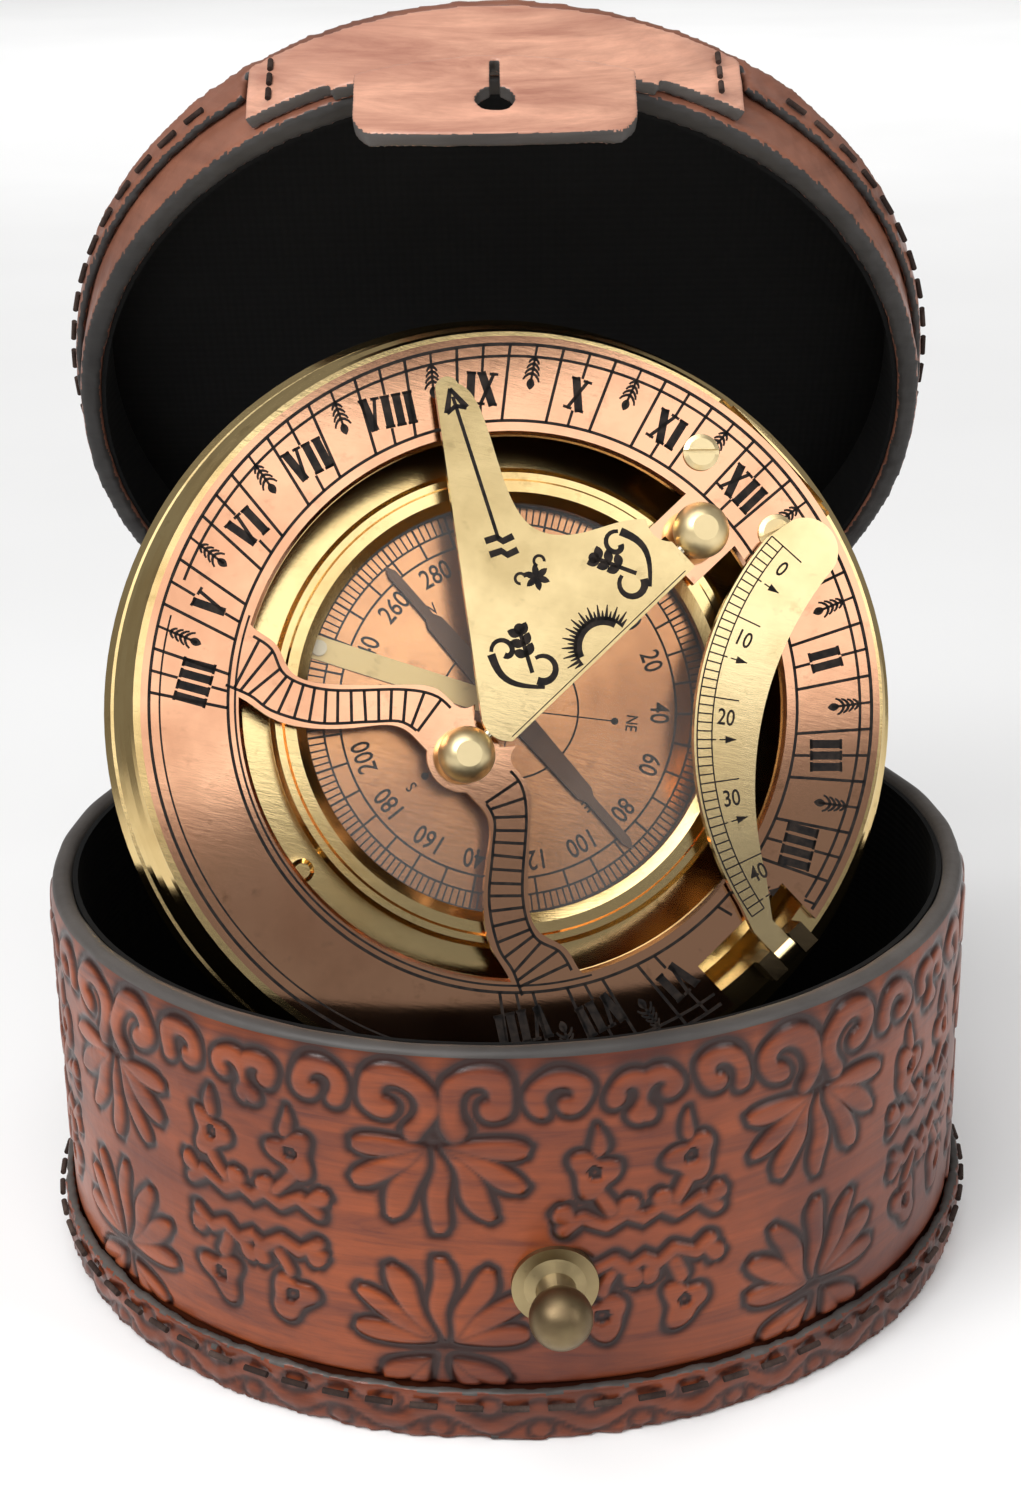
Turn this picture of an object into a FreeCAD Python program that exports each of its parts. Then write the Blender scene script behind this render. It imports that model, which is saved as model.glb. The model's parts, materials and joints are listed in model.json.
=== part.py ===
import FreeCAD, Part
import os
from math import asin, cos, degrees, pi, radians, sin

# A folding sundial compass standing in its round leather case, with the lid open over it.
# Row frame: millimetres, +Z up, origin on the ground under the middle of the case, front at -Y.
# The case lid is drawn shut and the instrument is drawn lying flat; both are then moved to rest.

V = FreeCAD.Vector
X_AXIS = V(1, 0, 0)
Y_AXIS = V(0, 1, 0)
Z_AXIS = V(0, 0, 1)

# ---- case ----
CASE_R = 56.0            # outer radius of the leather walls
CASE_H = 47.0            # height of the base's rim
LEATHER = 2.8            # wall leather
LINING = 0.6             # black cloth glued to the leather
PAN = 2.0                # leather discs that close the base and the lid
PAN_LIP = 1.3            # thickness of their turned-up lip outside the wall
LIP_H = 4.2              # height of that lip
BOARD = 1.0              # stiffening board in the bottom
LID_WALL = 11.6
LID_GAP = 0.3            # between the two rims when shut
FIT = 0.3                # clearance between pieces that move past each other
THREAD_R = 0.35
THREAD_L = 3.0           # seen length of one stitch
STITCHES = 72            # round the base and, but for the tab, round the lid

# ---- lid hinge: one leather strip, folding at two lines ----
STRIP_HALF = 16.0        # half width
STRIP_T = 1.4
STRIP_FOOT = 8.2         # lower end of the strip on the base
STRIP_SEAM = 2.0         # stitches from its edges
FOLD_Y = CASE_R + 1.5    # both fold lines
FOLD_LOW = 30.0
FOLD_HIGH = CASE_H + LID_GAP / 2
LID_OPEN = 60.0          # degrees from shut, at rest

# ---- closure ----
TAB_HALF = 30.0          # wide part, sewn on the lid
TONGUE_HALF = 16.5       # narrow part, hanging past the rim
TONGUE_L = 15.0          # at its middle
TONGUE_BOW = 3.5         # its end is this much longer at the middle than at the sides
TONGUE_CORNER = 8.0      # radius of its two rounded corners
TAB_T = 1.9
KEYHOLE_R = 2.2
KEYHOLE_DROP = 8.5       # keyhole below the lid's rim
SLIT_HALF = 0.5
SLIT_DROP = 1.2          # top of the slit below the rim
STUD_Z = 19.0
STUD_TURN = 4.5          # degrees round from the front
STUD_BALL_R = 3.4
STUD_REACH = 6.4         # ball centre from the leather
WASHER_R = 4.7
WASHER_T = 0.9
WASHER_INSET = 0.3       # pressed this far into the leather
SHANK_R = 1.4
CAP_R = 3.0
CAP_T = 0.5

# ---- instrument, lying flat: x right, y towards XII, z up from the dish's underside ----
DISH_R = 48.2
DISH_RIM_TOP = 14.1
DISH_BORE = 41.5
DISH_FLOOR = 2.0
PLATE_R = 43.4
PLATE_BORE = 31.8
PLATE_Z = 14.4           # underside of the hour plate
PLATE_T = 1.6
PLATE_TOP = PLATE_Z + PLATE_T
DIAL_Y = -8.5            # where the hour lines meet
TWELVE_Y = 29.4          # ball post at XII
BALL_R = 3.3
BALL_UP = 3.6            # ball centre above the plate
GNOMON_T = 1.6
GNOMON_PIN_R = 0.6
RUNNING = 0.05           # radial clearance of pins in holes

HINGE_Y = 42.4           # hour plate's hinge, under its edge at XII
HINGE_Z = 12.7
HINGE_R = 1.2
HINGE_HALF = 9.0
HINGE_PIN_R = 0.55
SCREW_X = 6.5
SCREW_Y = 36.6
SCREW_R = 0.9
SCREW_HEAD_R = 2.15
SCREW_SLOT_AT = (48, 70)  # directions of the two slots, degrees
LEAF_T = 0.9

ARC_PIN_X = 42.4         # latitude arc's pivot
ARC_PIN_Z = 17.8
ARC_ROOT_Y = 2.9
ARC_ROOT_W = 2.6
ARC_T = 1.6
ARC_CENTRE_Y = 38.5      # the arc is struck about this point on the pivot line
ARC_R = 36.6
ARC_PIN_R = 0.6

BOWL_R = 28.3
BOWL_BORE = 25.0
BOWL_FLOOR = 3.4
BOWL_TOP = 9.9
CARD_R = 24.9
CARD_Z = 7.6
CARD_T = 0.6
NEEDLE_Z = 9.3
NEEDLE_T = 0.5
NEEDLE_L = 22.4          # half length
NEEDLE_TURN = -2.2       # degrees at rest
GLASS_R = 25.8
GLASS_Z = 10.3
GLASS_T = 0.9
BEZEL_TOP = 12.1
LIFTER_Z = 8.6
LIFTER_T = 0.3
LIFTER_TURN = -151.0     # direction of its root from the middle, degrees
LIFTER_ROOT = 23.8

# ---- rest pose of the instrument ----
LEAN = 67.0              # degrees up from flat
YAW = 7.0                # turned to the right
TWELVE_AT = 40.1         # XII above the horizontal diameter, degrees
REST_DEPTH = 3.4         # middle of the dish's underside, back from the case axis
REST_HEIGHT = 62.35


def cyl(radius, z0, z1, x=0.0, y=0.0):
    return Part.makeCylinder(radius, z1 - z0, V(x, y, z0))


def tube(bore, radius, z0, z1):
    return cyl(radius, z0, z1).cut(cyl(bore, z0 - 1, z1 + 1))


def block(x0, x1, y0, y1, z0, z1):
    return Part.makeBox(x1 - x0, y1 - y0, z1 - z0, V(x0, y0, z0))


def rod_y(radius, x, z, y0, y1):
    return Part.makeCylinder(radius, y1 - y0, V(x, y0, z), Y_AXIS)


def rod_x(radius, y, z, x0, x1):
    return Part.makeCylinder(radius, x1 - x0, V(x0, y, z), X_AXIS)


def turned(profile):
    """A solid of revolution about Z from (radius, height) corners."""
    wire = Part.makePolygon([V(r, 0, z) for r, z in profile + profile[:1]])
    return Part.Face(wire).revolve(V(0, 0, 0), Z_AXIS, 360)


def slab(edges, z0, z1):
    """A flat plate from the edges of a closed outline drawn at z = 0."""
    face = Part.Face(Part.Wire(Part.__sortEdges__(edges)))
    solid = face.extrude(V(0, 0, z1 - z0))
    solid.translate(V(0, 0, z0))
    return solid


def line(a, b):
    return Part.makeLine(V(*a, 0), V(*b, 0))


def arc(a, b, c):
    return Part.Arc(V(*a, 0), V(*b, 0), V(*c, 0)).toShape()


def curve(points):
    spline = Part.BSplineCurve()
    spline.interpolate([V(x, y, 0) for x, y in points])
    return spline.toShape()


def sector(bore, radius, half_width, z0, z1, middle):
    """A curved strip of a cylinder wall, its middle at the angle given from +X."""
    half = degrees(asin(half_width / radius))
    ring = Part.makeCylinder(radius, z1 - z0, V(0, 0, z0), Z_AXIS, 2 * half)
    ring = ring.cut(cyl(bore, z0 - 1, z1 + 1))
    ring.rotate(V(0, 0, 0), Z_AXIS, middle - half)
    return ring


def spun(shape, angle):
    copy = shape.copy()
    copy.rotate(V(0, 0, 0), Z_AXIS, angle)
    return copy


def stitches(radius, z, angles):
    """Short thread bars lying on a cylinder, one for each angle."""
    start = V(radius + THREAD_R, -THREAD_L / 2, z)
    bar = Part.makeCylinder(THREAD_R, THREAD_L, start, Y_AXIS)
    return Part.makeCompound([spun(bar, a) for a in angles])


def stitch_columns(radius, z0, z1, xs, side, count):
    """Short upright thread bars in columns at the given x on the wall's back or front."""
    step = (z1 - z0) / count
    bars = []
    for x in xs:
        y = side * ((radius + THREAD_R) ** 2 - x ** 2) ** 0.5
        for i in range(count):
            bars.append(cyl(THREAD_R, z0 + (i + 0.2) * step, z0 + (i + 0.8) * step, x, y))
    return Part.makeCompound(bars)


# ---------------------------------------------------------------- case base

LIP_SEAM = PAN + LIP_H - 1.8     # height of the stitches on the base's lip


def stitch_angles(gap):
    """Even angles all round, less a gap each side of the front."""
    angles = [360.0 * i / STITCHES for i in range(STITCHES)]
    return [a for a in angles if abs(a - 270) >= gap]


def stud_shape(make):
    """Place a piece drawn about -Y at the stud's own direction."""
    return spun(make, STUD_TURN)


def front_rod(radius, y0, y1, z):
    return Part.makeCylinder(radius, y1 - y0, V(0, y0, z), Y_AXIS)


def base_wall():
    wall = tube(CASE_R - LEATHER, CASE_R, PAN, CASE_H)
    seat = front_rod(WASHER_R + 0.1, -CASE_R - 2, -CASE_R + WASHER_INSET, STUD_Z)
    hole = front_rod(SHANK_R, -CASE_R - 2, -CASE_R + LEATHER + 2, STUD_Z)
    return wall.cut(stud_shape(seat.fuse(hole)))


def base_lining():
    bore = CASE_R - LEATHER - LINING
    lining = tube(bore, CASE_R - LEATHER, PAN + BOARD, CASE_H - 0.6)
    return lining.cut(stud_shape(front_rod(SHANK_R, -CASE_R, -bore + 2, STUD_Z)))


def pan(z, up):
    """A leather disc with its edge turned up (or down) outside the wall."""
    lip = (z + PAN, z + PAN + LIP_H) if up else (z - LIP_H, z)
    ring = tube(CASE_R, CASE_R + PAN_LIP, *lip)
    return cyl(CASE_R + PAN_LIP, z, z + PAN).fuse(ring).removeSplitter()


def stud_washer():
    back = -CASE_R + WASHER_INSET
    face = back - WASHER_T
    disc = front_rod(WASHER_R, face, back, STUD_Z)
    dome = Part.makeCone(2.2, 3.4, 0.7, V(0, face - 0.7, STUD_Z), Y_AXIS)
    return stud_shape(disc.fuse(dome).cut(front_rod(SHANK_R, face - 2, back + 1, STUD_Z)))


def closure_stud():
    inner = -CASE_R + LEATHER + LINING
    ball_y = -CASE_R - STUD_REACH
    ball = Part.makeSphere(STUD_BALL_R, V(0, ball_y, STUD_Z))
    shank = front_rod(SHANK_R, ball_y, inner + CAP_T, STUD_Z)
    collar = Part.makeCone(SHANK_R + 0.1, 2.2, 1.6, V(0, ball_y + 3.5, STUD_Z), Y_AXIS)
    return stud_shape(ball.fuse([shank, collar]))


def stud_rivet_cap():
    inner = -CASE_R + LEATHER + LINING
    cap = front_rod(CAP_R, inner + 0.1, inner + 0.1 + CAP_T, STUD_Z)
    return stud_shape(cap.cut(front_rod(SHANK_R, inner - 1, inner + CAP_T, STUD_Z)))


# ---------------------------------------------------------------- hinge strip

def strip(z0, z1, bore):
    return sector(bore, bore + STRIP_T, STRIP_HALF, z0, z1, 90)


def strip_stitches(z0, z1, count):
    seam = STRIP_HALF - STRIP_SEAM
    return stitch_columns(CASE_R + STRIP_T, z0, z1, (-seam, seam), 1, count)


# ---------------------------------------------------------------- lid, drawn shut

LID_Z = CASE_H + LID_GAP
LID_TOP = LID_Z + LID_WALL


def keyhole():
    z = LID_Z - KEYHOLE_DROP
    slit = block(-SLIT_HALF, SLIT_HALF, -CASE_R - 6, -CASE_R, z, LID_Z - SLIT_DROP)
    return front_rod(KEYHOLE_R, -CASE_R - 6, -CASE_R + 2, z).fuse(slit)


def closure_tab():
    neck_top = LID_Z + 1.2
    wide = sector(CASE_R, CASE_R + TAB_T, TAB_HALF, neck_top, LID_TOP, 270)
    neck = sector(CASE_R, CASE_R + TAB_T, TONGUE_HALF + 3, LID_Z, neck_top, 270)
    return wide.fuse(neck).removeSplitter()


def closure_tongue():
    bore = CASE_R + 1.4
    foot = LID_Z - TONGUE_L
    tongue = sector(bore, bore + TAB_T, TONGUE_HALF, foot, LID_Z - FIT, 270)
    inner = TONGUE_HALF - TONGUE_CORNER
    front, shoulder = -CASE_R - 8, foot + TONGUE_CORNER
    outline = block(-inner, inner, front, 0, foot - 1, LID_Z)
    outline = outline.fuse(block(-TONGUE_HALF, TONGUE_HALF, front, 0, shoulder, LID_Z))
    for x in (-inner, inner):
        corner = Part.makeCylinder(TONGUE_CORNER, 20, V(x, front, shoulder), Y_AXIS)
        outline = outline.fuse(corner)
    end_r = (TONGUE_HALF ** 2 + TONGUE_BOW ** 2) / (2 * TONGUE_BOW)
    end = Part.makeCylinder(end_r, 20, V(0, front, foot + end_r), Y_AXIS)
    return tongue.common(outline).common(end).cut(keyhole())


# ---------------------------------------------------------------- instrument

def base_dish():
    outside = [(DISH_R, 0.5), (DISH_R, 2.0), (DISH_R - 0.8, 2.6), (46.9, 2.6), (46.9, 5.2),
               (46.2, 5.8), (46.2, 9.6), (45.5, 10.2), (45.5, 12.0), (44.7, 12.6),
               (44.7, DISH_RIM_TOP - 0.4), (44.3, DISH_RIM_TOP)]
    inside = [(DISH_BORE, DISH_RIM_TOP), (DISH_BORE, DISH_FLOOR + 1), (DISH_BORE - 1, DISH_FLOOR)]
    dish = turned([(0, 0), (DISH_R - 0.5, 0)] + outside + inside + [(0, DISH_FLOOR)])
    pocket = block(-HINGE_HALF - 0.4, HINGE_HALF + 0.4, 38, 44.0, 11.0, DISH_RIM_TOP + 1)
    dish = dish.cut(pocket)
    for x, y in BOWL_SCREWS:
        dish = dish.cut(countersunk(x, y, 0.0))
    return dish


BOWL_SCREWS = [(17 * cos(radians(a)), 17 * sin(radians(a))) for a in (90, 210, 330)]


def countersunk(x, y, grow):
    head = Part.makeCone(2.0 + grow, 1.1 + grow, 0.9, V(x, y, 0))
    return head.fuse(cyl(1.1 + grow, 0, DISH_FLOOR + 1.0, x, y))


def bowl_screws():
    slot = block(-2.5, 2.5, -0.25, 0.25, -0.1, 0.4)
    screws = []
    for x, y in BOWL_SCREWS:
        cut = slot.copy()
        cut.translate(V(x, y, 0))
        screws.append(countersunk(x, y, 0).cut(cut))
    return Part.makeCompound(screws)


def compass_bowl():
    bowl = turned([(0, DISH_FLOOR), (BOWL_R - 0.8, DISH_FLOOR), (BOWL_R, DISH_FLOOR + 0.8),
                   (BOWL_R, 7.6), (BOWL_R - 0.7, 8.2), (BOWL_R - 0.7, BOWL_TOP),
                   (BOWL_BORE, BOWL_TOP), (BOWL_BORE, CARD_Z), (BOWL_BORE - 2.2, CARD_Z),
                   (BOWL_BORE - 2.2, BOWL_FLOOR), (0, BOWL_FLOOR)])
    for x, y in BOWL_SCREWS:
        bowl = bowl.cut(cyl(1.1, 0, DISH_FLOOR + 1.0, x, y))
    return bowl.cut(cyl(0.9, DISH_FLOOR + 0.4, BOWL_FLOOR + 1))


def compass_card():
    card = cyl(CARD_R, CARD_Z, CARD_Z + CARD_T).cut(cyl(0.95, CARD_Z - 1, CARD_Z + 2))
    return card.cut(lifter_root_hole())


def lifter_point(reach):
    return reach * cos(radians(LIFTER_TURN)), reach * sin(radians(LIFTER_TURN))


def lifter_root_hole():
    x, y = lifter_point(LIFTER_ROOT)
    return cyl(0.6, BOWL_FLOOR, CARD_Z + 2, x, y)


def pivot_pin():
    foot = cyl(0.9, DISH_FLOOR + 0.4, CARD_Z + CARD_T)
    point = Part.makeCone(0.55, 0.12, 1.2, V(0, 0, CARD_Z + CARD_T))
    return foot.fuse(point)


def compass_needle():
    wide, narrow = 1.05, 0.55
    half = [(NEEDLE_L, 0), (NEEDLE_L - 1.2, narrow), (14.5, narrow), (13.5, wide), (0, 1.4)]
    upper = half + [(-x, y) for x, y in half[-2::-1]]
    lower = [(x, -y) for x, y in upper[-2:0:-1]]
    outline = upper + lower
    edges = [line(a, b) for a, b in zip(outline, outline[1:] + outline[:1])]
    needle = slab(edges, NEEDLE_Z, NEEDLE_Z + NEEDLE_T).cut(cyl(0.8, NEEDLE_Z - 1, NEEDLE_Z + 2))
    return spun(needle, NEEDLE_TURN)


def needle_cap():
    skirt = turned([(0.35, NEEDLE_Z - 0.2), (1.5, NEEDLE_Z - 0.2), (1.5, NEEDLE_Z),
                    (0.8, NEEDLE_Z), (0.8, NEEDLE_Z + NEEDLE_T), (1.3, NEEDLE_Z + NEEDLE_T),
                    (0.9, NEEDLE_Z + 0.95), (0, NEEDLE_Z + 0.95), (0, NEEDLE_Z + 0.3),
                    (0.35, NEEDLE_Z + 0.15)])
    return skirt


def needle_lifter():
    arm = block(2.0, LIFTER_ROOT + 0.9, -1.4, 1.4, LIFTER_Z, LIFTER_Z + LIFTER_T)
    eye = tube(1.7, 3.2, LIFTER_Z, LIFTER_Z + LIFTER_T)
    arm = arm.cut(cyl(2.4, LIFTER_Z - 1, LIFTER_Z + 1)).fuse(eye)
    arm = arm.removeSplitter().cut(cyl(0.65, LIFTER_Z - 1, LIFTER_Z + 1, LIFTER_ROOT, 0))
    return spun(arm, LIFTER_TURN)


def lifter_screw():
    x, y = lifter_point(LIFTER_ROOT)
    top = LIFTER_Z + LIFTER_T + 0.15
    head = cyl(0.95, top, top + 0.4, x, y)
    return cyl(0.6, CARD_Z, top, x, y).fuse(head)


def crystal():
    return cyl(GLASS_R, GLASS_Z, GLASS_Z + GLASS_T)


def crystal_gasket():
    return tube(BOWL_BORE, GLASS_R, BOWL_TOP, GLASS_Z)


def crystal_bezel():
    seat = GLASS_Z + GLASS_T
    return turned([(GLASS_R, BOWL_TOP), (BOWL_R + 0.3, BOWL_TOP), (BOWL_R + 0.3, 11.0),
                   (BOWL_R - 0.3, 11.5), (27.2, 11.5), (26.9, BEZEL_TOP), (25.6, BEZEL_TOP),
                   (24.4, seat), (GLASS_R, seat)])


def plate_rest_post():
    """Stands in the gap round the compass and stops the hour plate from dropping."""
    radius, x, y = 1.4, -3.2, -31.2
    shoulder = DISH_RIM_TOP - 0.9
    post = cyl(radius, DISH_FLOOR, shoulder, x, y)
    return post.fuse(Part.makeCone(radius, radius - 0.5, 0.9, V(x, y, shoulder)))


def hinge_base_leaf():
    cheeks = []
    for side in (-1, 1):
        a, b = sorted((side * 4.3, side * HINGE_HALF))
        barrel = rod_x(HINGE_R, HINGE_Y, HINGE_Z, a, b)
        foot = block(a, b, HINGE_Y - HINGE_R, HINGE_Y + HINGE_R, 11.0, HINGE_Z)
        cheeks.append(barrel.fuse(foot))
    tie = block(-HINGE_HALF, HINGE_HALF, HINGE_Y - HINGE_R, HINGE_Y + HINGE_R, 11.0, 11.2)
    leaf = tie.fuse(cheeks).removeSplitter()
    return leaf.cut(rod_x(HINGE_PIN_R, HINGE_Y, HINGE_Z, -20, 20))


def hinge_pin():
    return rod_x(HINGE_PIN_R, HINGE_Y, HINGE_Z, -HINGE_HALF, HINGE_HALF)


def hinge_plate_leaf():
    half = 4.0
    under = PLATE_Z - LEAF_T
    leaf = block(-HINGE_HALF, HINGE_HALF, 33.5, 40.6, under, PLATE_Z)
    neck = block(-half, half, 40.6, HINGE_Y, under, PLATE_Z - 0.5)
    barrel = rod_x(HINGE_R, HINGE_Y, HINGE_Z, -half, half)
    leaf = leaf.fuse([neck, barrel]).removeSplitter()
    leaf = leaf.cut(rod_x(HINGE_PIN_R + RUNNING, HINGE_Y, HINGE_Z, -20, 20))
    for x in (-SCREW_X, SCREW_X):
        leaf = leaf.cut(cyl(SCREW_R, under - 1, PLATE_Z + 1, x, SCREW_Y))
    return leaf


def hinge_screws():
    screws = []
    for x, turn in zip((-SCREW_X, SCREW_X), SCREW_SLOT_AT):
        shank = cyl(SCREW_R, PLATE_Z - LEAF_T, PLATE_TOP, x, SCREW_Y)
        head = cyl(SCREW_HEAD_R, PLATE_TOP, PLATE_TOP + 0.4, x, SCREW_Y)
        dome = Part.makeCone(SCREW_HEAD_R, 1.6, 0.3, V(x, SCREW_Y, PLATE_TOP + 0.4))
        slot = block(-3, 3, -0.3, 0.3, PLATE_TOP + 0.25, PLATE_TOP + 2)
        slot.rotate(V(0, 0, 0), Z_AXIS, turn)
        slot.translate(V(x, SCREW_Y, 0))
        screws.append(shank.fuse([head, dome]).cut(slot))
    return Part.makeCompound(screws)


def spokes():
    """The two wavy bars from the ring to the dial centre, as one plate outline."""
    top = [(-30.5, -14.6), (-27.0, -15.9), (-24.4, -15.4), (-21.0, -16.3), (-16.5, -13.9),
           (-10.5, -7.6), (-7.2, -5.3), (-4.4, -5.0), (-3.4, -3.4)]
    low = [(-24.6, -23.6), (-21.8, -22.4), (-18.6, -21.7), (-14.2, -18.9), (-10.4, -14.6),
           (-8.0, -11.9), (-5.6, -11.2)]

    def mirrored(points):
        return [(-x, y) for x, y in points]

    edges = [curve(top), line(top[-1], (-1.8, -5.2)), line((-1.8, -5.2), (1.8, -5.2)),
             line((1.8, -5.2), mirrored(top)[-1]), curve(mirrored(top)),
             line(top[0], low[0]), line(mirrored(top)[0], mirrored(low)[0]),
             curve(low), curve(mirrored(low)), line(low[-1], mirrored(low)[-1])]
    return slab(edges, PLATE_Z, PLATE_TOP)


def hour_plate():
    ring = tube(PLATE_BORE, PLATE_R, PLATE_Z, PLATE_TOP)
    edge = turned([(PLATE_BORE - 0.1, PLATE_TOP + 1), (PLATE_BORE - 0.1, PLATE_TOP - 0.5),
                   (PLATE_BORE + 0.6, PLATE_TOP + 0.2), (PLATE_BORE + 0.6, PLATE_TOP + 1)])
    plate = ring.cut(edge).fuse([spokes(), cyl(4.3, PLATE_Z, PLATE_TOP, 0, DIAL_Y)])
    tongue = block(-4.2, 4.2, 25.2, 33.0, PLATE_Z, PLATE_TOP)
    fork = block(-2.3, 2.7, 20, 26.6, PLATE_Z - 1, PLATE_TOP + 1)
    plate = plate.fuse(tongue.cut(fork)).removeSplitter()
    notch = block(36.8, 60, -5.6, 8.4, PLATE_Z - 1, PLATE_TOP + 1)
    plate = plate.cut(notch)
    for y in (DIAL_Y, TWELVE_Y):
        plate = plate.cut(cyl(1.2, PLATE_Z - 1, PLATE_TOP + 1, 0, y))
    for side in (-1, 1):
        plate = plate.cut(cyl(SCREW_R, PLATE_Z - 1, PLATE_TOP + 1, side * SCREW_X, SCREW_Y))
    return plate


def ball_post(y, inward):
    """A ball on a short neck, bored sideways for the gnomon's pin."""
    z = PLATE_TOP + BALL_UP
    ball = Part.makeSphere(BALL_R, V(0, y, z))
    ball = ball.cut(block(-5, 5, y - 5, y + 5, z + BALL_R - 0.35, z + 9))
    neck = cyl(2.2, PLATE_TOP, PLATE_TOP + 1.2, 0, y)
    post = ball.fuse([neck, cyl(1.2, PLATE_Z, PLATE_TOP + 1, 0, y)])
    y0, y1 = sorted((y + inward * 0.8, y + inward * 9))
    return post.cut(rod_y(GNOMON_PIN_R + RUNNING, 0, z, y0, y1))


def gnomon():
    z = PLATE_TOP + BALL_UP
    low, high = DIAL_Y + BALL_R + FIT, TWELVE_Y - BALL_R - FIT
    edges = [line((2.5, low + 1.2), (2.5, high)), line((2.5, high), (-1.4, high)),
             curve([(-1.4, high), (-3.2, high - 1.0), (-5.4, high - 0.4)]),
             curve([(-5.4, high - 0.4), (-7.4, 22.6), (-10.3, 17.4), (-13.2, 15.2),
                    (-18.0, 15.6), (-31.6, 20.2)]),
             arc((-31.6, 20.2), (-33.3, 19.4), (-32.7, 17.7)),
             line((-32.7, 17.7), (-1.6, low + 0.3)),
             arc((-1.6, low + 0.3), (0.6, low), (2.5, low + 1.2))]
    plate = slab(edges, z - GNOMON_T / 2, z + GNOMON_T / 2)
    for y0, y1 in ((low - 1, low + 3), (high - 3, high + 1)):
        plate = plate.cut(rod_y(GNOMON_PIN_R, 0, z, y0, y1))
    return plate


def gnomon_pins():
    z = PLATE_TOP + BALL_UP
    low, high = DIAL_Y + BALL_R + FIT, TWELVE_Y - BALL_R - FIT
    return Part.makeCompound([rod_y(GNOMON_PIN_R, 0, z, low - 2.4, low + 3),
                              rod_y(GNOMON_PIN_R, 0, z, high - 3, high + 2.4)])


def arc_point(radius, angle):
    """A point on the arc's circle, the angle measured up from the hour plate when raised."""
    return (ARC_PIN_X - radius * sin(radians(angle)),
            ARC_CENTRE_Y - radius * cos(radians(angle)))


def latitude_arc():
    root0, root1 = ARC_ROOT_Y - ARC_ROOT_W / 2, ARC_ROOT_Y + ARC_ROOT_W / 2
    outer = [arc_point(ARC_R, a) for a in (12, 48, 84)]
    tip = (9.4, 40.9)
    inner = [(14.0, 38.2), (20.6, 20.0), (34.4, 7.2)]
    edges = [arc(*outer), line(outer[-1], (6.6, 38.4)), arc((6.6, 38.4), tip, inner[0]),
             arc(*inner), line(inner[-1], (38.6, root1)), line((38.6, root1), (ARC_PIN_X, root1)),
             line((ARC_PIN_X, root1), (ARC_PIN_X, root0)), line((ARC_PIN_X, root0), (38.2, root0)),
             line((38.2, root0), outer[0])]
    plate = slab(edges, ARC_PIN_Z - ARC_T / 2, ARC_PIN_Z + ARC_T / 2)
    barrel = rod_y(1.3, ARC_PIN_X, ARC_PIN_Z, root0, root1)
    return plate.fuse(barrel).removeSplitter().cut(
        rod_y(ARC_PIN_R + RUNNING, ARC_PIN_X, ARC_PIN_Z, -9, 19))


def arc_lugs():
    lugs = []
    for side in (-1, 1):
        y = ARC_ROOT_Y + side * (ARC_ROOT_W / 2 + 0.15)
        y0, y1 = sorted((y, y + side * 2.0))
        lug = block(ARC_PIN_X - 1.5, ARC_PIN_X + 1.5, y0, y1, DISH_RIM_TOP, ARC_PIN_Z + 1.7)
        lugs.append(lug.cut(rod_y(ARC_PIN_R, ARC_PIN_X, ARC_PIN_Z, -9, 19)))
    return Part.makeCompound(lugs)


def arc_pin():
    reach = ARC_ROOT_W / 2 + 2.15
    return rod_y(ARC_PIN_R, ARC_PIN_X, ARC_PIN_Z, ARC_ROOT_Y - reach, ARC_ROOT_Y + reach)


# ---------------------------------------------------------------- rest pose

def rest_of_lid(shape):
    shape.rotate(V(0, FOLD_Y, FOLD_LOW), X_AXIS, -LID_OPEN)
    return shape


def rest_of_dial(shape):
    shape.rotate(V(0, 0, 0), Z_AXIS, TWELVE_AT - 90)
    shape.rotate(V(0, 0, 0), X_AXIS, LEAN)
    shape.translate(V(0, REST_DEPTH, REST_HEIGHT))
    shape.rotate(V(0, 0, 0), Z_AXIS, YAW)
    return shape


def save(name, shape):
    shape.exportStep("parts/" + name + ".step")


def case_base():
    save("base_wall", base_wall())
    save("base_lining", base_lining())
    save("bottom_pan", pan(0, True))
    save("bottom_board", cyl(CASE_R - LEATHER, PAN, PAN + BOARD))
    save("floor_lining", cyl(CASE_R - LEATHER - LINING, PAN + BOARD, PAN + BOARD + LINING))
    save("bottom_stitches", stitches(CASE_R + PAN_LIP, LIP_SEAM, stitch_angles(0)))
    save("stud_washer", stud_washer())
    save("closure_stud", closure_stud())
    save("stud_rivet_cap", stud_rivet_cap())
    save("hinge_strip_lower", strip(STRIP_FOOT, FOLD_LOW - FIT, CASE_R))
    save("strip_stitches_lower", strip_stitches(STRIP_FOOT + 1, FOLD_LOW - 2, 6))


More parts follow.
